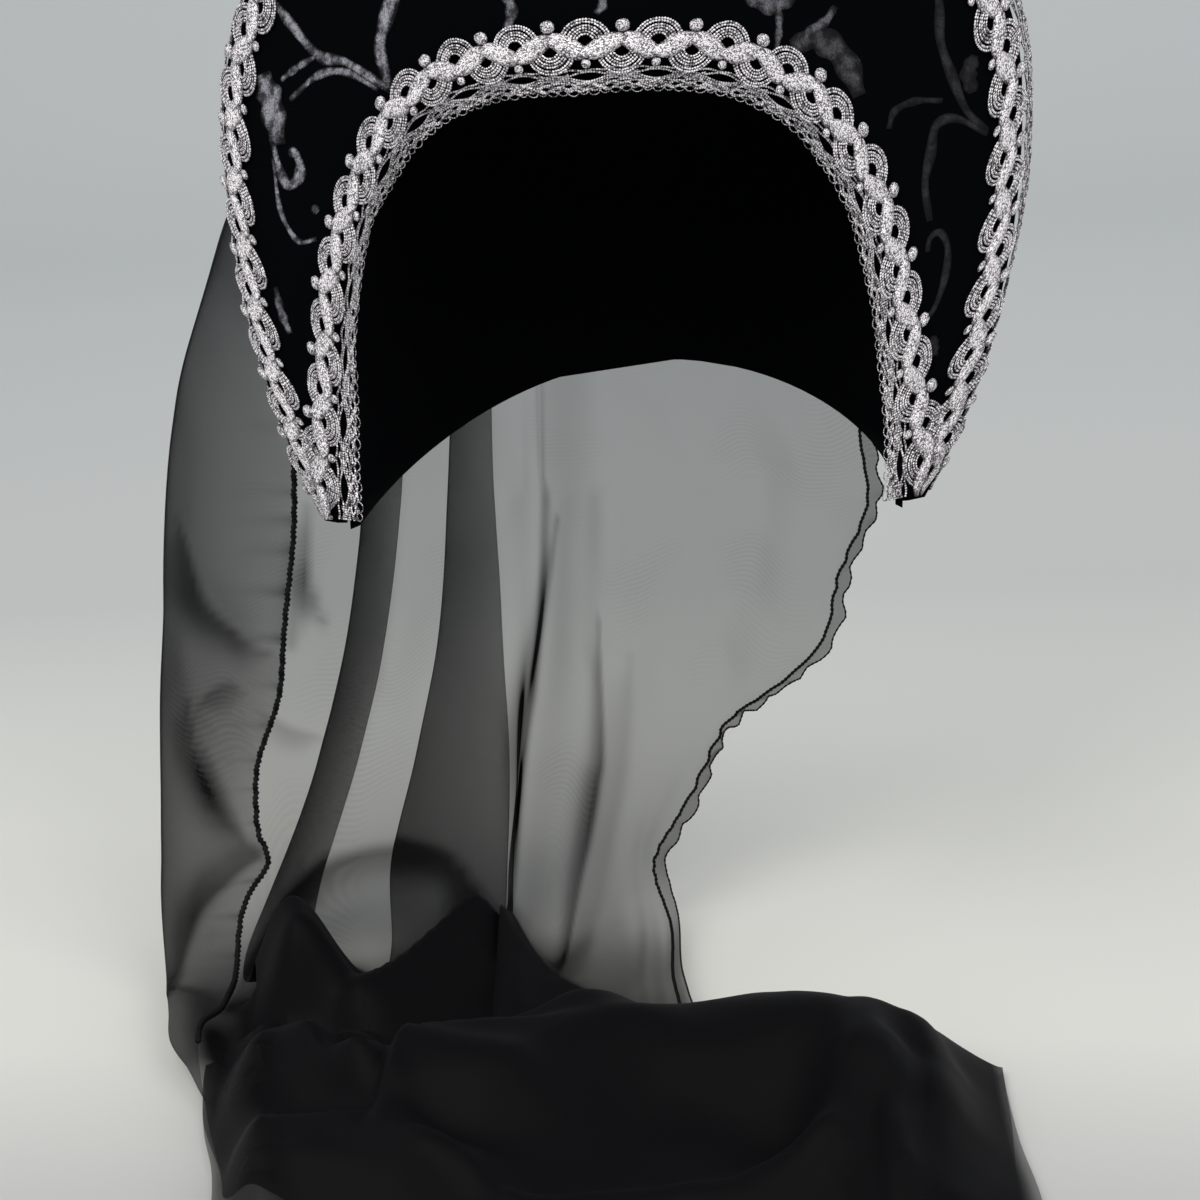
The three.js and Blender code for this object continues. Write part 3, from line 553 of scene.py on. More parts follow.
def lay_braid(name, motif, thread, share, ends, to_points, material, seed, bright=1.0):
    """Repeats the motif for the length of an edge and lays it there."""
    f = np.linspace(-1 + ends, 1 - ends, 900)
    line = on_crescent(f, share)
    run = run_along(line, 0)
    count = int(round(run[-1] / PITCH))
    bm = bmesh.new()
    for k in range(count):
        before = len(bm.verts)
        bm.from_mesh(motif)
        bm.verts.ensure_lookup_table()
        bmesh.ops.translate(bm, verts=bm.verts[before:], vec=(k * PITCH, 0, 0))
    at = np.array([v.co[:] for v in bm.verts])
    length = np.clip(at[:, 0] / (count * PITCH) * run[-1], 0, run[-1])
    chance = np.random.default_rng(seed)
    knots = np.arange(-2, count * 2 + 4) * PITCH / 2
    loose = np.interp(at[:, 0], knots, chance.normal(0, WANDER, len(knots)))
    along = np.interp(length, run, f)
    place(bm, to_points(along, at[:, 1] + loose, at[:, 2]))
    obj = finish_mesh(bm, name, material)
    glint, fine = np.tile(thread, count)
    put_attribute(obj, "weave", (at + np.array([seed * 7.0, 0, 0])) * fine[:, None], "FLOAT_VECTOR")
    darkened = DARKER_BY * np.clip((np.abs(along) - DARKER_FROM) / (1 - DARKER_FROM), 0, 1)
    put_attribute(obj, "glint", bright * glint * (1 - darkened))
    return obj


# how far the inner braid laps over the edge, mm, and how wide it lies, from left tip to right tip
LAP = np.array([
    # place, lap, width
    (-1, 0.5, 12.5), (-0.8, 2.6, 11.6), (-0.45, 3.6, 11.6), (-0.2, 1.0, 13.0), (0, 0.7, BRAID_WIDE),
    (0.2, 1.2, 13.0), (0.45, 3.4, 12.0), (0.8, 3.2, 11.4), (1, 0.8, 12.0),
])
OUTER_IN, ROUND_FROM = 1.4, 0.968


def tip_round(f):
    """The share of its width that a braid keeps, where its ends are cut round."""
    past = np.clip(np.abs(f) - ROUND_FROM, 0, 1) / (1 - ROUND_FROM)
    return np.sqrt(np.clip(1 - past ** 2, 0.08, 1))


def on_face(inner):
    def to_points(f, across, height):
        across = across * tip_round(f)
        width = crescent_width(f)
        lies = np.interp(f, LAP[:, 0], LAP[:, 2]) if inner else BRAID_WIDE
        wide = np.minimum(lies, width * 0.62 + 1.5)
        d = (across * (1 if inner else -1) / BRAID_WIDE + 0.5) * wide
        over = np.interp(f, LAP[:, 0], LAP[:, 1])
        d = d - over if inner else d + OUTER_IN * np.clip(width / 20 - 0.8, 0, 1)
        share = d / width if inner else 1 - d / width
        return on_crescent(f, share, THICK / 2 + 0.1 + height + (0.5 if inner else 0))
    return to_points


inner_front = lay_braid("inner_front_gimp", front_motif, front_thread, 0.12, 0.004,
                        on_face(True), silver, 3)
outer_front = lay_braid("outer_front_gimp", front_motif, front_thread, 0.88, 0.004,
                        on_face(False), silver, 5)
for obj, cad in ((inner_front, "inner_front_braid"), (outer_front, "outer_front_braid")):
    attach(obj, "root")
    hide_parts(cad)

# Edge braids
# A second, looser and darker row along each edge: beaded strands part round one long eye in each
# pitch, then run together in a fuzzy band with small picot loops on its free side.
EYE_LONG, EYE_HALF, EYE_AT = 10.5, 1.35, 2.7
dull = gimp("dark purl thread", "08080A", "FFFAFF", 1.25, 2.6)
motif = bmesh.new()
t = np.linspace(0, PITCH, 61)
swing = np.sin(np.pi * np.clip((t - (PITCH - EYE_LONG) / 2) / EYE_LONG, 0, 1))
EYE_STRANDS = ((EYE_AT - 0.45, -1, 0.9), (EYE_AT + 0.35, 1, 0.9), (EYE_AT + 1.2, 1, 0.7))
for base, sign, lift in EYE_STRANDS:
    beaded(motif, np.stack([t, base + sign * EYE_HALF * swing, lift + 0 * t], -1), 0.48, 0.8)
# the first strand along the seam, then the band: how far out, how it waves, and its phase
BAND = (
    (0.4, 0.25, 3, 0), (5.0, 0.35, 2, 4), (5.7, 0.55, 3, 1),
    (6.3, 0.6, 4, 3), (7.0, 0.55, 3, 5), (7.6, 0.4, 5, 2),
)
for base, wave, turns, phase in BAND:
    beaded(motif, np.stack([t, base + wave * np.sin(2 * turns * np.pi * t / PITCH + phase),
                            0.8 + 0.4 * np.sin(4 * np.pi * t / PITCH + 2 * phase)], -1), 0.5, 0.8)
# crossed strands between the eyes
CROSS_LONG, CROSS_HALF = 4.6, 1.5
for side_at in (0.0, PITCH - CROSS_LONG):
    for tilt in (-1, 1):
        u = np.linspace(0, 1, 12)
        crossing = EYE_AT + 0.3 + tilt * CROSS_HALF * np.cos(np.pi * u)
        beaded(motif, np.stack([side_at + CROSS_LONG * u, crossing, 1.1 + 0 * u], -1), 0.42, 0.75)
# half breadths of the picot loops in one pitch, and where they start
PICOTS, PICOT_FROM = (1.6, 1.9, 1.35, 1.75, 1.5, 1.8), 7.6
for k, size in enumerate(PICOTS):
    a = np.linspace(-0.15, np.pi + 0.15, 12)
    beaded(motif, np.stack([(k + 0.5) * PITCH / len(PICOTS) - size * np.cos(a),
                            PICOT_FROM + size * 1.1 * np.sin(a), 0.7 + 0 * a], -1), 0.28, 0.7, 3)
edge_motif, edge_thread = keep_motif(motif, "edge_motif")

# degrees that each row is turned back, by its place from the left tip to the right tip
INNER_TURN = np.array([(-1, 42), (-0.86, 48), (-0.72, 100), (-0.5, 100), (-0.34, 40), (0, 24), (0.45, 45),
                       (0.8, 62), (1, 48)])
OUTER_TURN = np.array([(-1, 72), (0, 72), (0.2, 30), (0.7, 28), (0.9, 66), (1, 72)])
# shares of its width that the rows keep: the outer one for each row of OUTER_TURN
OUTER_WIDE_AT = (0.62, 0.62, 0.82, 0.85, 0.66, 0.62)
INNER_WIDE, INNER_TUCKED, PICOT_OUT = 0.8, 0.9, 1.2


def on_edge(inner):
    def to_points(f, across, height):
        share = 0.0 if inner else 1.0
        x, v = on_flat(f, share)
        normal = stand_normal(x, v)
        away = on_crescent(f, share) - on_crescent(f, 0.1 if inner else 0.9)
        away /= np.linalg.norm(away, axis=1, keepdims=True)
        turns = INNER_TURN if inner else OUTER_TURN
        turn = np.radians(np.interp(f, turns[:, 0], turns[:, 1]))
        if inner:
            across = across * INNER_WIDE - INNER_TUCKED
        else:
            across = across * np.interp(f, OUTER_TURN[:, 0], OUTER_WIDE_AT)
            # the picots stand out further on the outer edge
            across = across + PICOT_OUT * np.clip(across / 5 - 1, 0, 1)
        c, s = np.cos(turn)[:, None], np.sin(turn)[:, None]
        root = on_crescent(f, share) + away * 0.4 + normal * (0.6 if inner else 1.2)
        return root + (away * c - normal * s) * across[:, None] + (away * s + normal * c) * height[:, None]
    return to_points


inner_edge = lay_braid("inner_edge_purl", edge_motif, edge_thread, 0.0, 0.006,
                       on_edge(True), dull, 8)
outer_edge = lay_braid("outer_edge_purl", edge_motif, edge_thread, 1.0, 0.006,
                       on_edge(False), dull, 9, 0.5)
for obj, cad in ((inner_edge, "inner_edge_braid"), (outer_edge, "outer_edge_braid")):
    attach(obj, "root")
    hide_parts(cad)

# Veil
# Sheer black organza, gathered into the seam behind the crescent. It hangs behind the head with
# its left side turned back on itself, is pulled in at the right, and lies in a heap in front.
# One row per fold across the cloth, from the left hem to the right hem: x at heights above and
# below the head's middle, how far it stands in front of the hindmost layer, where it lands, how it
# overlaps there, and its place across the heap. All in mm.
FOLDS = np.array([
    # x10, x60, x139, x180, x215, ahead, land, lap, heap
    (-108, -116, -128, -138, -146, 50, 14, 8, -139),
    (-124, -142, -151, -157, -162, 42, 10, 7, -132),
    (-136, -162, -174, -177, -176, 33, 12, 4, -124),
    (-127, -151, -161, -165, -166, 20, 22, 1, -114),
    (-106, -128, -139, -147, -152, 10, 34, 0, -101),
    (-86, -88, -101, -113, -124, 4, 44, 0, -90),
    (-93, -99, -114, -127, -139, 9, 42, 4, -80),
    (-80, -84, -97, -110, -121, 15, 42, 8, -68),
    (-67, -72, -84, -90, -96, 10, 50, 5, -56),
    (-52, -57, -60, -60, -61, 3, 58, 0, -44),
    (-62, -70, -81, -92, -102, 8, 56, 4, -32),
    (-49, -53, -58, -59, -61, 14, 56, 9, -18),
    (-38, -42, -48, -55, -60, 6, 58, 14, -4),
    (-29, -34, -42, -50, -55, 13, 58, 9, 12),
    (-20, -24, -32, -38, -45, 5, 62, 2, 28),
    (-8, -12, -19, -25, -31, 11, 62, 8, 44),
    (8, 6, 0, -10, -20, 3, 66, 2, 60),
    (32, 29, 20, 2, -14, 5, 66, 5, 76),
    (60, 54, 42, 11, -9, 9, 66, 3, 92),
    (88, 78, 60, 20, -4, 5, 64, 8, 106),
], float)
last_fold = len(FOLDS) - 1
FLOOR, BACK_Y = -245.0, 112.0
# the first and last place of the seam along the crescent, and its share of the width
SEWN_FROM, SEWN_TO, SEWN_SHARE = -0.62, 0.5, 0.5
# the run over the floor from the side: forward, back over itself, and forward again on top
RUN = np.array([
    # y, rise, spread, lap
    (-22, 1.5, 0.22, 0.8), (-72, 1.5, 0.65, 0.4), (-118, 1.6, 0.95, 0.15), (-137, 5, 1, 0), (-118, 9, 1, 0),
    (-72, 9.5, 1, 0), (-40, 10, 1, 0), (-25, 15, 1, 0), (-40, 20, 1, 0), (-80, 19, 1.01, 0),
    (-120, 16, 1.03, 0), (-152, 7, 1.04, 0), (-172, 1.5, 1.05, 0),
])
# soft ridges that lift the whole heap: two ends, half breadth and height
RIDGES = [
    # x0, y0, x1, y1, wide, high
    (-15, -60, 46, -50, 34, 13), (-119, 8, -114, -6, 18, 38), (-67, 42, -92, -20, 12, 20),
    (-165, 12, -142, -36, 14, 8), (-112, -62, -40, -92, 22, 12), (74, -50, 58, -108, 13, 7),
    (-114, -118, -40, -128, 15, 8), (20, -136, -24, -146, 14, 5),
]
# narrower rolls of cloth on top of them: half breadth, then points x, y and height along each
ROLLS = [
    (7.0, [(-57, 56, 3), (-64, 22, 9), (-76, -12, 9), (-86, -36, 9), (-86, -60, 6), (-78, -80, 3)]),
    (6.0, [(-114, -52, 4), (-98, -66, 9), (-82, -82, 8), (-68, -98, 4)]),
    (8.0, [(-124, -104, 3), (-104, -106, 8), (-84, -106, 9), (-64, -112, 9), (-46, -130, 7), (-26, -148, 3)]),
    (8.0, [(66, -52, 3), (68, -80, 7), (56, -110, 8), (36, -130, 7), (2, -138, 6), (-24, -146, 4)]),
    (5.0, [(78, -72, 5), (77, -106, 6), (80, -146, 4)]),
    (6.0, [(84, -48, 3), (92, -66, 6), (92, -90, 6), (84, -120, 3)]),
    (14.0, [(-50, 30, 9), (-38, 2, 10), (-18, -26, 9)]),
]
# where the heap sinks: x, y, half breadth and share
HOLLOWS = [
    (-106, -44, 13, 0.38), (-86, -70, 8, 0.3), (-80, -46, 7, 0.3), (41, -96, 19, 0.42), (-6, -100, 26, 0.12),
]
# the front mound rises in a step along its left side: x of the step, its breadth, how far it fades
# out to the right, its height, and the y it starts and ends at
STEP = (-71, 5.5, 62, 9.0, -50, -118)
# the station where the cloth lands
FOOT = 6


def from_line(x, y, start, end):
    """How far each place is from a straight line, and how far along the line, from 0 to 1."""
    (x0, y0), (x1, y1) = start[:2], end[:2]
    dx, dy = x1 - x0, y1 - y0
    k = np.clip(((x - x0) * dx + (y - y0) * dy) / (dx * dx + dy * dy), 0, 1)
    return np.hypot(x - x0 - k * dx, y - y0 - k * dy), k


def heaped(x, y):
    """Height that the soft ridges add."""
    high = np.zeros_like(x)
    for x0, y0, x1, y1, wide, rise in RIDGES:
        d = from_line(x, y, (x0, y0), (x1, y1))[0] / wide
        high += rise * np.exp(-1.4 * d * d)
    return high


def rolled_up(x, y):
    """Height that the narrow rolls add: each has a round top and steep sides."""
    high = np.zeros_like(x)
    for wide, line in ROLLS:
        best = np.zeros_like(x)
        for start, end in zip(line[:-1], line[1:]):
            d, k = from_line(x, y, start, end)
            best = np.maximum(best, (start[2] + (end[2] - start[2]) * k) / (1 + (d / wide) ** 3.2))
        high += best
    at_x, over, fade, tall, first, last = STEP
    side_on = ease((x - at_x - 0.05 * (y - first)) / over) * (1 - ease((x - at_x - over) / fade))
    return high + tall * side_on * ease((first + 6 - y) / 12) * ease((y - last) / 26)


def sunk(x, y):
    """The share of its height that the heap keeps in its hollows."""
    keep = np.ones_like(x)
    for x0, y0, wide, share in HOLLOWS:
        keep *= 1 - share * np.exp(-(np.hypot(x - x0, y - y0) / wide) ** 2)
    return keep


def strayed(x, y, across):
    """Where a place of the heap lies: its edges wander, and its corners are drawn in."""
    corner = np.abs(2 * across - 1) ** 4
    crest = -16 * np.exp(-(((x + 82) / 26) ** 2)) - 7 * ease((x - 50) / 40)
    front = 9 * np.sin(x / 24 + 0.8) + 26 * corner
    near = ease((y + 150) / 110)
    sides = np.where(x < 0, 0.17 * np.minimum(y + 40, 30), 0.06 * (y + 40))
    return x - sides * np.abs(x) / 120, y + (front + (crest - front) * near) * ease((-y - 4) / 14)


def catmull(points, t):
    """Points is stations x lines x 3. The lines' points at station numbers t, evenly eased."""
    p = np.concatenate([[2 * points[0] - points[1]], points, [2 * points[-1] - points[-2]]])
    i = np.clip(t.astype(int), 0, len(points) - 2)
    k = (t - i)[:, None, None]
    p0, p1, p2, p3 = (p[i + j] for j in range(4))
    gaps = [np.maximum(np.linalg.norm(b - a, axis=-1, keepdims=True), 1e-6) ** 0.5
            for a, b in ((p0, p1), (p1, p2), (p2, p3))]
    d0, d1, d2 = gaps
    m1 = (p1 - p0) / d0 - (p2 - p0) / (d0 + d1) + (p2 - p1) / d1
    m2 = (p2 - p1) / d1 - (p3 - p1) / (d1 + d2) + (p3 - p2) / d2
    m1, m2 = m1 * d1, m2 * d1
    return ((2 * k ** 3 - 3 * k ** 2 + 1) * p1 + (k ** 3 - 2 * k ** 2 + k) * m1
            + (-2 * k ** 3 + 3 * k ** 2) * p2 + (k ** 3 - k ** 2) * m2)


def fold_at(place_):
    """The row of FOLDS at places between the folds."""
    i = np.clip(place_.astype(int), 0, len(FOLDS) - 2)
    a, b, c, d = (FOLDS[np.clip(i + j, 0, len(FOLDS) - 1)] for j in (-1, 0, 1, 2))
    return between(a, b, c, d, (place_ - i)[:, None])


def thread_stations(place_):
    """Where the threads at these places across the cloth pass each station."""
    x10, x60, x139, x180, x215, forward, land, lap, heap = fold_at(place_).T
    y = BACK_Y - forward
    f = SEWN_FROM + (SEWN_TO - SEWN_FROM) * place_ / last_fold
    sewn = on_crescent(f, SEWN_SHARE, -THICK / 2 - 1.8 - 0.7 * np.sin(place_ * 5.2))
    full = np.full_like
    fold_share = place_ / last_fold
    # the left side opens sooner than the rest once it has landed
    power = 0.45 + 0.55 * ease(place_ / 8)
    rows = [
        sewn,
        np.stack([(sewn[:, 0] + x10) / 2, sewn[:, 1] + (y - sewn[:, 1]) * 0.72,
                  sewn[:, 2] + (10 - sewn[:, 2]) * 0.24], -1),
        np.stack([x10, y, full(y, 10)], -1),
        np.stack([x60, y, full(y, -60)], -1),
        np.stack([x139, y + (land - y) * 0.06, full(y, -139)], -1),
        np.stack([x180, y + (land - y) * 0.2, full(y, -182)], -1),
        np.stack([x215, y + (land - y) * 0.5, full(y, -218)], -1),
        np.stack([x215 + (heap - x215) * 0.04 ** power, land, FLOOR + 3 + lap], -1),
        np.stack([x215 + (heap - x215) * 0.09 ** power, (land - 22) / 2, FLOOR + 2 + lap * 0.9], -1),
    ]
    for run_y, rise, spread, share in RUN:
        x, run = strayed(x215 + (heap - x215) * spread ** power, full(y, run_y), fold_share)
        rows.append(np.stack([x, run, FLOOR + rise + lap * share], -1))
    return np.array(rows)


def clear_of_cap(p):
    """Cloth lies on the cap and never inside it."""
    high = np.maximum(p[..., 2] + 28, 0) / 96
    wide = np.abs(p[..., 0]) / 90
    deep = np.maximum(p[..., 1] - 2, 0) / 102
    size = ((high ** 3 + wide ** 3) ** (CAP_FULL / 3) + deep ** CAP_FULL) ** (1 / CAP_FULL)
    grow = np.where((p[..., 2] < -88) | (size >= 1.05), 1, 1.05 / np.maximum(size, 1e-6))
    lift = np.where(p[..., 2] > -28, grow, 1)
    return np.stack([p[..., 0] * grow, 2 + (p[..., 1] - 2) * grow, -28 + (p[..., 2] + 28) * lift], -1)


# creases finer than the folds: wavelength, direction of travel in degrees, height and phase
HUNG_CREASES = ((74, 4, 2.0, 0.3), (41, -7, 1.2, 1.9), (23, 9, 0.45, 4.0))
LAID_CREASES = ((83, 21, 1.3, 0.4), (47, 70, 0.9, 2.2), (29, 128, 0.4, 3.9))


def creased(u, v, table):
    """Soft creases over a surface whose places are u and v in mm."""
    out = np.zeros_like(u)
    for length, heading_, high, phase in table:
        c, s = math.cos(math.radians(heading_)), math.sin(math.radians(heading_))
        bent = 1.1 * np.sin((v * c - u * s) / (length * 0.45) + phase * 2)
        wave = np.sin((u * c + v * s) * 2 * np.pi / length + bent + phase)
        out += high * (wave + 0.35 * wave ** 2)
    return out


# creases that the stitches and the turned side draw in the hanging cloth, darkened along each partly by the
# extra cloth a crease gathers and partly by painted shade: half breadth, how much they darken it, the first
# and last place they reach across the cloth, and x and z along each
DRAPES = [
    (3.6, 0.30, 0, 2.5, [(-161, -88), (-158, -104), (-155, -117), (-145, -127), (-130, -133)]),
    (2.6, 0.20, 0, 2.5, [(-160, -152), (-156, -149), (-149, -146), (-142, -148)]),
    (2.6, 0.20, 0, 2.5, [(-160, -162), (-155, -176), (-151, -185), (-146, -196)]),
    (3.4, 0.25, 0, 2.5, [(-164, -150), (-163, -166), (-158, -178), (-150, -192), (-139, -204)]),
    (5.0, 0.09, 0, 2.5, [(-170, -126), (-168, -138), (-164, -150), (-156, -160)]),
    (3.0, 0.36, 0, 2.5, [(-136, -199), (-150, -206), (-162, -218), (-168, -242)]),
    (2.6, 0.34, 3, 6, [(-124, -94), (-127, -118), (-122, -138)]),
    (2.6, 0.22, 3, 6, [(-127, -112), (-131, -133), (-136, -146)]),
    (2.4, 0.20, 3, 6, [(-147, -165), (-138, -173), (-126, -176)]),
    (3.2, 0.42, 3, 14, [(-158, -262), (-150, -246), (-141, -232), (-133, -223), (-122, -216),
                        (-111, -213), (-97, -213), (-83, -216), (-74, -226), (-64, -243)]),
    (2.2, 0.46, 11, 19, [(-36, -100), (-43, -132), (-48, -151), (-52, -166), (-55, -181), (-56, -196),
                         (-57, -211), (-58, -244)]),
    (2.0, 0.46, 13, 19, [(-24, -136), (-26, -181), (-28, -193), (-32, -212), (-36, -229), (-42, -266)]),
    (4.0, 0.16, 13, 19, [(-14, -150), (-20, -190), (-26, -215), (-34, -260)]),
]
# how wide the right hem's band is, mm
HEM_BAND = 4.6


def drawn(x, z, across):
    """How much the creases of DRAPES darken the cloth, partly painted shade: sharp on one side, soft on the
    other.
    """
    total = np.zeros_like(x)
    for wide, dark, first, last, line in DRAPES:
        line = through(line, 6 * len(line))
        near, at, soft_side = np.full_like(x, 1e9), np.zeros_like(x), np.zeros_like(x)
        for i, ((x0, z0), (x1, z1)) in enumerate(zip(line[:-1], line[1:])):
            d, k = from_line(x, z, (x0, z0), (x1, z1))
            closer = d < near
            at = np.where(closer, (i + k) / (len(line) - 1), at)
            turned = np.sign((x - x0) * (z1 - z0) - (z - z0) * (x1 - x0))
            soft_side = np.where(closer, turned, soft_side)
            near = np.minimum(near, d)
        taper = np.sin(np.pi * np.clip(at, 0.03, 0.97)) ** 0.5
        spread = wide * taper * (0.85 + 1.7 * ease(soft_side * near / wide * 0.45 + 0.25))
        inside = ease((across - first + 0.3) / 0.3) * ease((last + 0.3 - across) / 0.3)
        total += dark * np.exp(-(near / spread) ** 2) * taper ** 0.7 * inside[None]
    return total


stations = len(RUN) + 8
places = np.concatenate([np.linspace(0, 0.6, 13)[:-1], np.linspace(0.6, 18.3, 240)[:-1],
                         np.linspace(18.3, last_fold, 16)])
times = np.concatenate([np.linspace(0, 8.2, 205)[:-1], np.linspace(8.2, stations, 148)])
sheet = clear_of_cap(catmull(thread_stations(places), times))
# views of its x, y and z: what changes them changes the sheet
px, py, pz = np.moveaxis(sheet, -1, 0)
lying = ease(times - FOOT)[:, None]
hanging = ease(times / 2.5)[:, None] * (1 - ease(times - 5.6)[:, None])
x, y = px.copy(), py.copy()
lift = heaped(x, y) + rolled_up(x, y) * (0.55 + 0.45 * ease((times - 14) / 2)[:, None])
pz += lift * ease((times - FOOT) / 1.5)[:, None]
pz[:] = FLOOR + (pz - FLOOR) * (1 - (1 - sunk(x, y)) * lying)
# at both sides of the heap the layers curve down over one another to the floor
rounded = np.maximum(ease(1 - places / 2.6), ease(1 - (last_fold - places) / 1.5))[None]
rounded = rounded * ease((times - 9) / 2)[:, None]
LOWEST = 1.2
pz[:] = FLOOR + LOWEST + (pz - FLOOR - LOWEST) * (1 - 0.9 * rounded)
top_layer = ease((times - 12.5) / 2)[:, None]
px += np.where(places < 9, -3.0, 3.0)[None] * rounded * top_layer
# the hems swing in and out on their way down
sway = np.exp(-(last_fold - places) / 0.8)[None] * hanging
px += 2.6 * np.sin(pz / 8.5 + 0.6) * sway
py += 3.2 * np.sin(pz / 10.5) * sway
left_sway = 5.5 * np.exp(-((pz + 204) / 7) ** 2) - 4.5 * np.exp(-((pz + 172) / 18) ** 2)
px += left_sway * np.exp(-places / 0.7)[None] * (1 - lying)
# the narrow fold beside the turned side runs out to the left in a point
POINT_PLACE, POINT_TIME, POINT_OUT = 5.8, 7, 13
pointed = np.exp(-((places - POINT_PLACE) / 0.9) ** 2)[None]
pointed = pointed * np.exp(-((times - POINT_TIME) / 0.8) ** 2)[:, None]
px -= POINT_OUT * pointed
# the hems are drawn up by their stitches, so the cloth beside them puckers
LAID_PUCKER = 0.15
seam_run = run_along(sheet[:, :1], 0)
for edge_place, reach, pinch, depth in ((0, 0.55, 6.5, 1.0), (last_fold, 0.16, 8.5, 1.5)):
    near = np.exp(-np.abs(places - edge_place) / reach)[None]
    pucker = np.sin(seam_run * 2 * np.pi / pinch + 1.6 * np.sin(seam_run / 17)) * near * depth
    py += pucker * (1 - lying)
    pz += np.abs(pucker) * lying * LAID_PUCKER
# and it swings in slanting waves that die away from the left hem
far = places[None]
slant = np.sin(seam_run / 12 + far * 1.8) * np.sin(seam_run / 41 + 0.7) * np.exp(-far / 1.6) * 4.2
py += slant * hanging
py += creased(px, pz, HUNG_CREASES) * hanging
laid = ease((times - 8.5) / 3)[:, None] * (1 - rounded)
pz += creased(px, py, LAID_CREASES) * laid
DRAPE_DARK, DRAPE_OUT = 0.85, 5
in_reach = ease((times - 1.5) / 0.8) * (1 - ease((times - 7.2) / 0.9))
# the creases' darkening, partly painted shade, thickens the cloth along them and pushes it forward a little
drape = DRAPE_DARK * drawn(px, pz, places) * in_reach[:, None]
py -= DRAPE_OUT * drape
# the band of the right hem: its width from the hem inwards is the same all the way, and it ruffles
from_hem = run_along(sheet[:, ::-1], 1)[:, ::-1]
outer_run = run_along(sheet[:, -1:], 0)
ruffle = np.clip(1 - from_hem / HEM_BAND, 0, 1) * hanging
px += 1.1 * np.sin(outer_run * 2 * np.pi / 15 + 1.2 * np.sin(outer_run / 19)) * ruffle
py += 2.2 * np.cos(outer_run * 2 * np.pi / 11) * ruffle
pz[:] = np.maximum(pz, FLOOR + LOWEST)
columns, rows = len(places) - 1, len(times) - 1
bm, spot = grid(columns, rows)
col = np.rint(spot[:, 0] * columns).astype(int)
row = np.rint(spot[:, 1] * rows).astype(int)
place(bm, sheet[row, col])

organza, shader, tree = new_material(
    "sheer black organza", Base_Color=linear("09090B"), Roughness=0.6, Specular_IOR_Level=0.06,
    Sheen_Weight=0.014, Sheen_Roughness=0.5, Sheen_Tint=linear("B9B2C4"))
facing = node(tree, "LayerWeight", Blend=0.5)
thick = node(tree, "Attribute", {"attribute_name": "thick"})
weave = node(tree, "Attribute", {"attribute_name": "weave"})
steep = node(tree, "Math", {"operation": "POWER"}, {0: facing.outputs["Facing"]})
steep.inputs[1].default_value = 1.8
alpha = node(tree, "Math", {"operation": "MULTIPLY_ADD"}, {0: steep.outputs["Value"]})
alpha.inputs[1].default_value = 0.5
alpha.inputs[2].default_value = 0.455
# two layers of weave meet in faint watered lines, in patches
patches = node(tree, "TexNoise", links={"Vector": weave.outputs["Vector"]}, Scale=0.03, Detail=1)
watered = node(tree, "TexWave", {"wave_type": "RINGS"}, {"Vector": weave.outputs["Vector"]},
               Scale=0.21, Distortion=9.0, Detail=1.0, Detail_Scale=0.12)
patchy = node(tree, "MapRange", None, {"Value": patches.outputs["Fac"]}, From_Min=0.5, From_Max=0.7,
              To_Max=0.045)
lines = node(tree, "Math", {"operation": "MULTIPLY"},
             {0: watered.outputs["Fac"], 1: patchy.outputs["Result"]})
woven = node(tree, "Math", {"operation": "ADD"},
             {0: alpha.outputs["Value"], 1: lines.outputs["Value"]})
dense = node(tree, "Math", {"operation": "ADD", "use_clamp": True},
             {0: woven.outputs["Value"], 1: thick.outputs["Fac"]})
tree.links.new(dense.outputs["Value"], shader.inputs["Alpha"])
veil = finish_mesh(bm, "organza_veil", organza)
# where folds lie on one another: the middle and half breadth across the cloth, and how much darker
PLEATS = ((1.5, 1.7, 0.24), (6, 1.15, 0.27), (10, 1.15, 0.19), (13.5, 1.2, 0.08))
pleats = sum(dark * ease(1 - np.abs(places - middle) / reach) for middle, reach, dark in PLEATS)
cloth = pleats[None] * (1 - lying) + drape
# a fold's turned edge is seen through more cloth
slope = np.gradient(px, axis=1) / np.gradient(places)[None]
cloth = cloth + 0.22 * np.exp(-(slope / 4) ** 2) * hanging
inner = ease((places - 2.4) / 1.6) * ease((last_fold - 0.1 - places) / 0.4)
cloth = cloth + (0.2 * ease((times - 7.3) / 1.5) + 0.2 * ease((times - 13.5) / 2))[:, None] * inner[None]
cloth = cloth + np.clip(lift / 40, 0, 0.45) * lying * inner[None]
# a dark flap of the heap runs from under the second pleat towards the right
FLAP_X, FLAP_Y, FLAP_SLOPE, FLAP_DARK = -68, 80, 1.58, 0.5
flap = ease((FLAP_Y - FLAP_SLOPE * (x - FLAP_X) - y) / 14) * ease((x + 84) / 8)
cloth = cloth + FLAP_DARK * flap * lying * inner[None]
cloth = cloth + 0.2 * (1 - ease((from_hem - HEM_BAND) / 0.6)) * (1 - lying)
# short tucks beside the left hem
tucks = np.maximum(0, np.sin(seam_run * 2 * np.pi / 13 + 2.6 * np.sin(seam_run / 19))) ** 14
cloth = cloth + 0.42 * tucks * np.exp(-places / 0.26)[None] * (1 - lying)
put_attribute(veil, "thick", np.clip(cloth, 0, 1)[row, col])
put_attribute(veil, "weave", np.stack([sheet[row, col, 0], sheet[row, col, 2] - sheet[row, col, 1],
                                       places[col]], -1), "FLOAT_VECTOR")
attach(veil, "root")
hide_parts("veil")

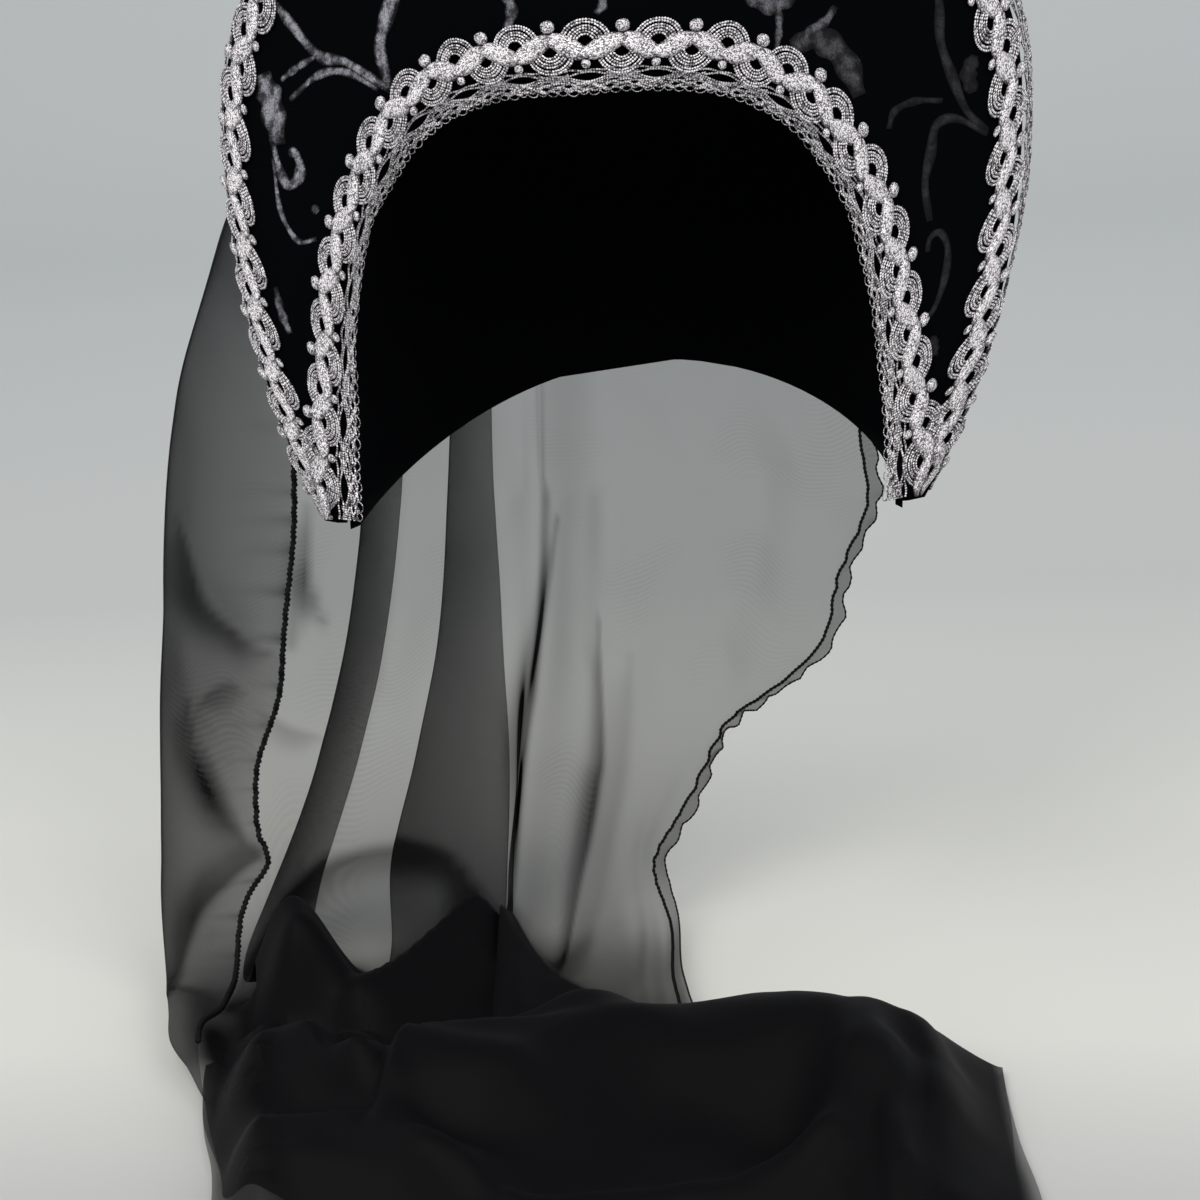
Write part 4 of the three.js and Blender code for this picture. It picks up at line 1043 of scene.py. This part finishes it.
# the rolled hems, overcast with thread: down the left side, down the right side with a second
# row of stitches inside it, and across the foot
rolled = new_material("rolled organza hem", Base_Color=linear("141416"), Roughness=0.7,
                      Specular_IOR_Level=0.1, Alpha=0.93)[0]
bm = bmesh.new()
stitched = np.array([[np.interp(HEM_BAND, far_in[::-1], across[::-1, j]) for j in range(3)]
                     for far_in, across in zip(from_hem, sheet)])
shown = slice(4, int(np.searchsorted(times, 9.3)))
# each hem's line, its radius and the pitch of its stitches
HEMS = ((sheet[shown, 0], 1.25, 1.9), (sheet[shown, -1], 0.4, 1.9), (stitched[shown], 0.72, 1.6))
for line, size, pitch in HEMS:
    beaded(bm, line, size, pitch, 5, 1.0, 0.3, (1.0, 0.1, 0.1))
beaded(bm, sheet[-1], 0.5, 1.6, 5)
glints.clear()
plies.clear()
bmesh.ops.scale(bm, vec=(MM, MM, MM), verts=bm.verts)
hems = finish_mesh(bm, "veil_hems", rolled)
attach(hems, "root")

# Floor
# A pale matt table top under the heap, swept up far behind into the backdrop.
paper, shader, tree = new_material("pale paper", Roughness=0.9, Specular_IOR_Level=0.1)
# painted light and shade: the paper's colour is a little darker near the camera and in the distance than
# under the heap
coords = node(tree, "TexCoord")
place_on = node(tree, "SeparateXYZ", links={"Vector": coords.outputs["Object"]})
depth = node(tree, "MapRange", None, {"Value": place_on.outputs["Y"]}, From_Min=-0.2, From_Max=1.4)
ramp = node(tree, "ValToRGB", links={"Fac": depth.outputs["Result"]})
TONES = ((0.04, "B7B8B8"), (0.12, "DCDCD8"), (0.24, "E4E4DF"), (0.42, "CDCFCE"), (0.9, "D9DCDC"))
for i, (at, painted_light_tone) in enumerate(TONES):
    stop = ramp.color_ramp.elements[i] if i < 2 else ramp.color_ramp.elements.new(at)
    stop.position = at
    stop.color = linear(painted_light_tone)
tree.links.new(ramp.outputs["Color"], shader.inputs["Base Color"])
# in m: breadth, near end, whole length, where the bow starts, its length and its radius
BROAD, NEAR_END, LONG, BOW_FROM, BOW_LONG, BOW = 6, -1.6, 5.6, 1.5, 1.1, 0.7
bm, spot = grid(2, 40)
s = spot[:, 1] * LONG + NEAR_END
angle = np.clip((s - BOW_FROM) / BOW_LONG, 0, 1) * np.pi / 2
y = np.where(s < BOW_FROM, s, BOW_FROM + BOW * np.sin(angle))
z = np.where(s < BOW_FROM, 0, BOW * (1 - np.cos(angle))) + np.maximum(s - BOW_FROM - BOW_LONG, 0)
place(bm, np.stack([(spot[:, 0] - 0.5) * BROAD, y, z], -1) / MM + np.array([0, 0, FLOOR]))
floor = finish_mesh(bm, "floor", paper)

# Light
# Soft studio light: a large panel above and to the left, a weaker one at the right, and a pale
# even surround.
world = bpy.data.worlds.new("surround")
world.use_nodes = True
feed(world.node_tree.nodes["Background"], {"Color": linear("DEE2E8"), "Strength": 0.55})
bpy.context.scene.world = world


def panel(name, at, towards, size, watts, tint):
    data = bpy.data.lights.new(name, "AREA")
    data.shape = "RECTANGLE"
    data.size, data.size_y = size
    data.energy = watts
    data.color = linear(tint)[:3]
    lamp = bpy.data.objects.new(name, data)
    aim = (Vector(towards) - Vector(at)).to_track_quat("-Z", "Y")
    lamp.matrix_world = Matrix.Translation(at) @ aim.to_matrix().to_4x4()
    bpy.context.collection.objects.link(lamp)


MIDDLE = (0, 0, -0.05)
panel("key", (-0.7, -1.0, 1.5), MIDDLE, (1.6, 1.6), 26, "FFFDF6")
panel("fill", (1.2, -0.9, 1.2), MIDDLE, (1.5, 1.5), 16, "FFFDF8")
bpy.context.scene.view_settings.view_transform = "Standard"
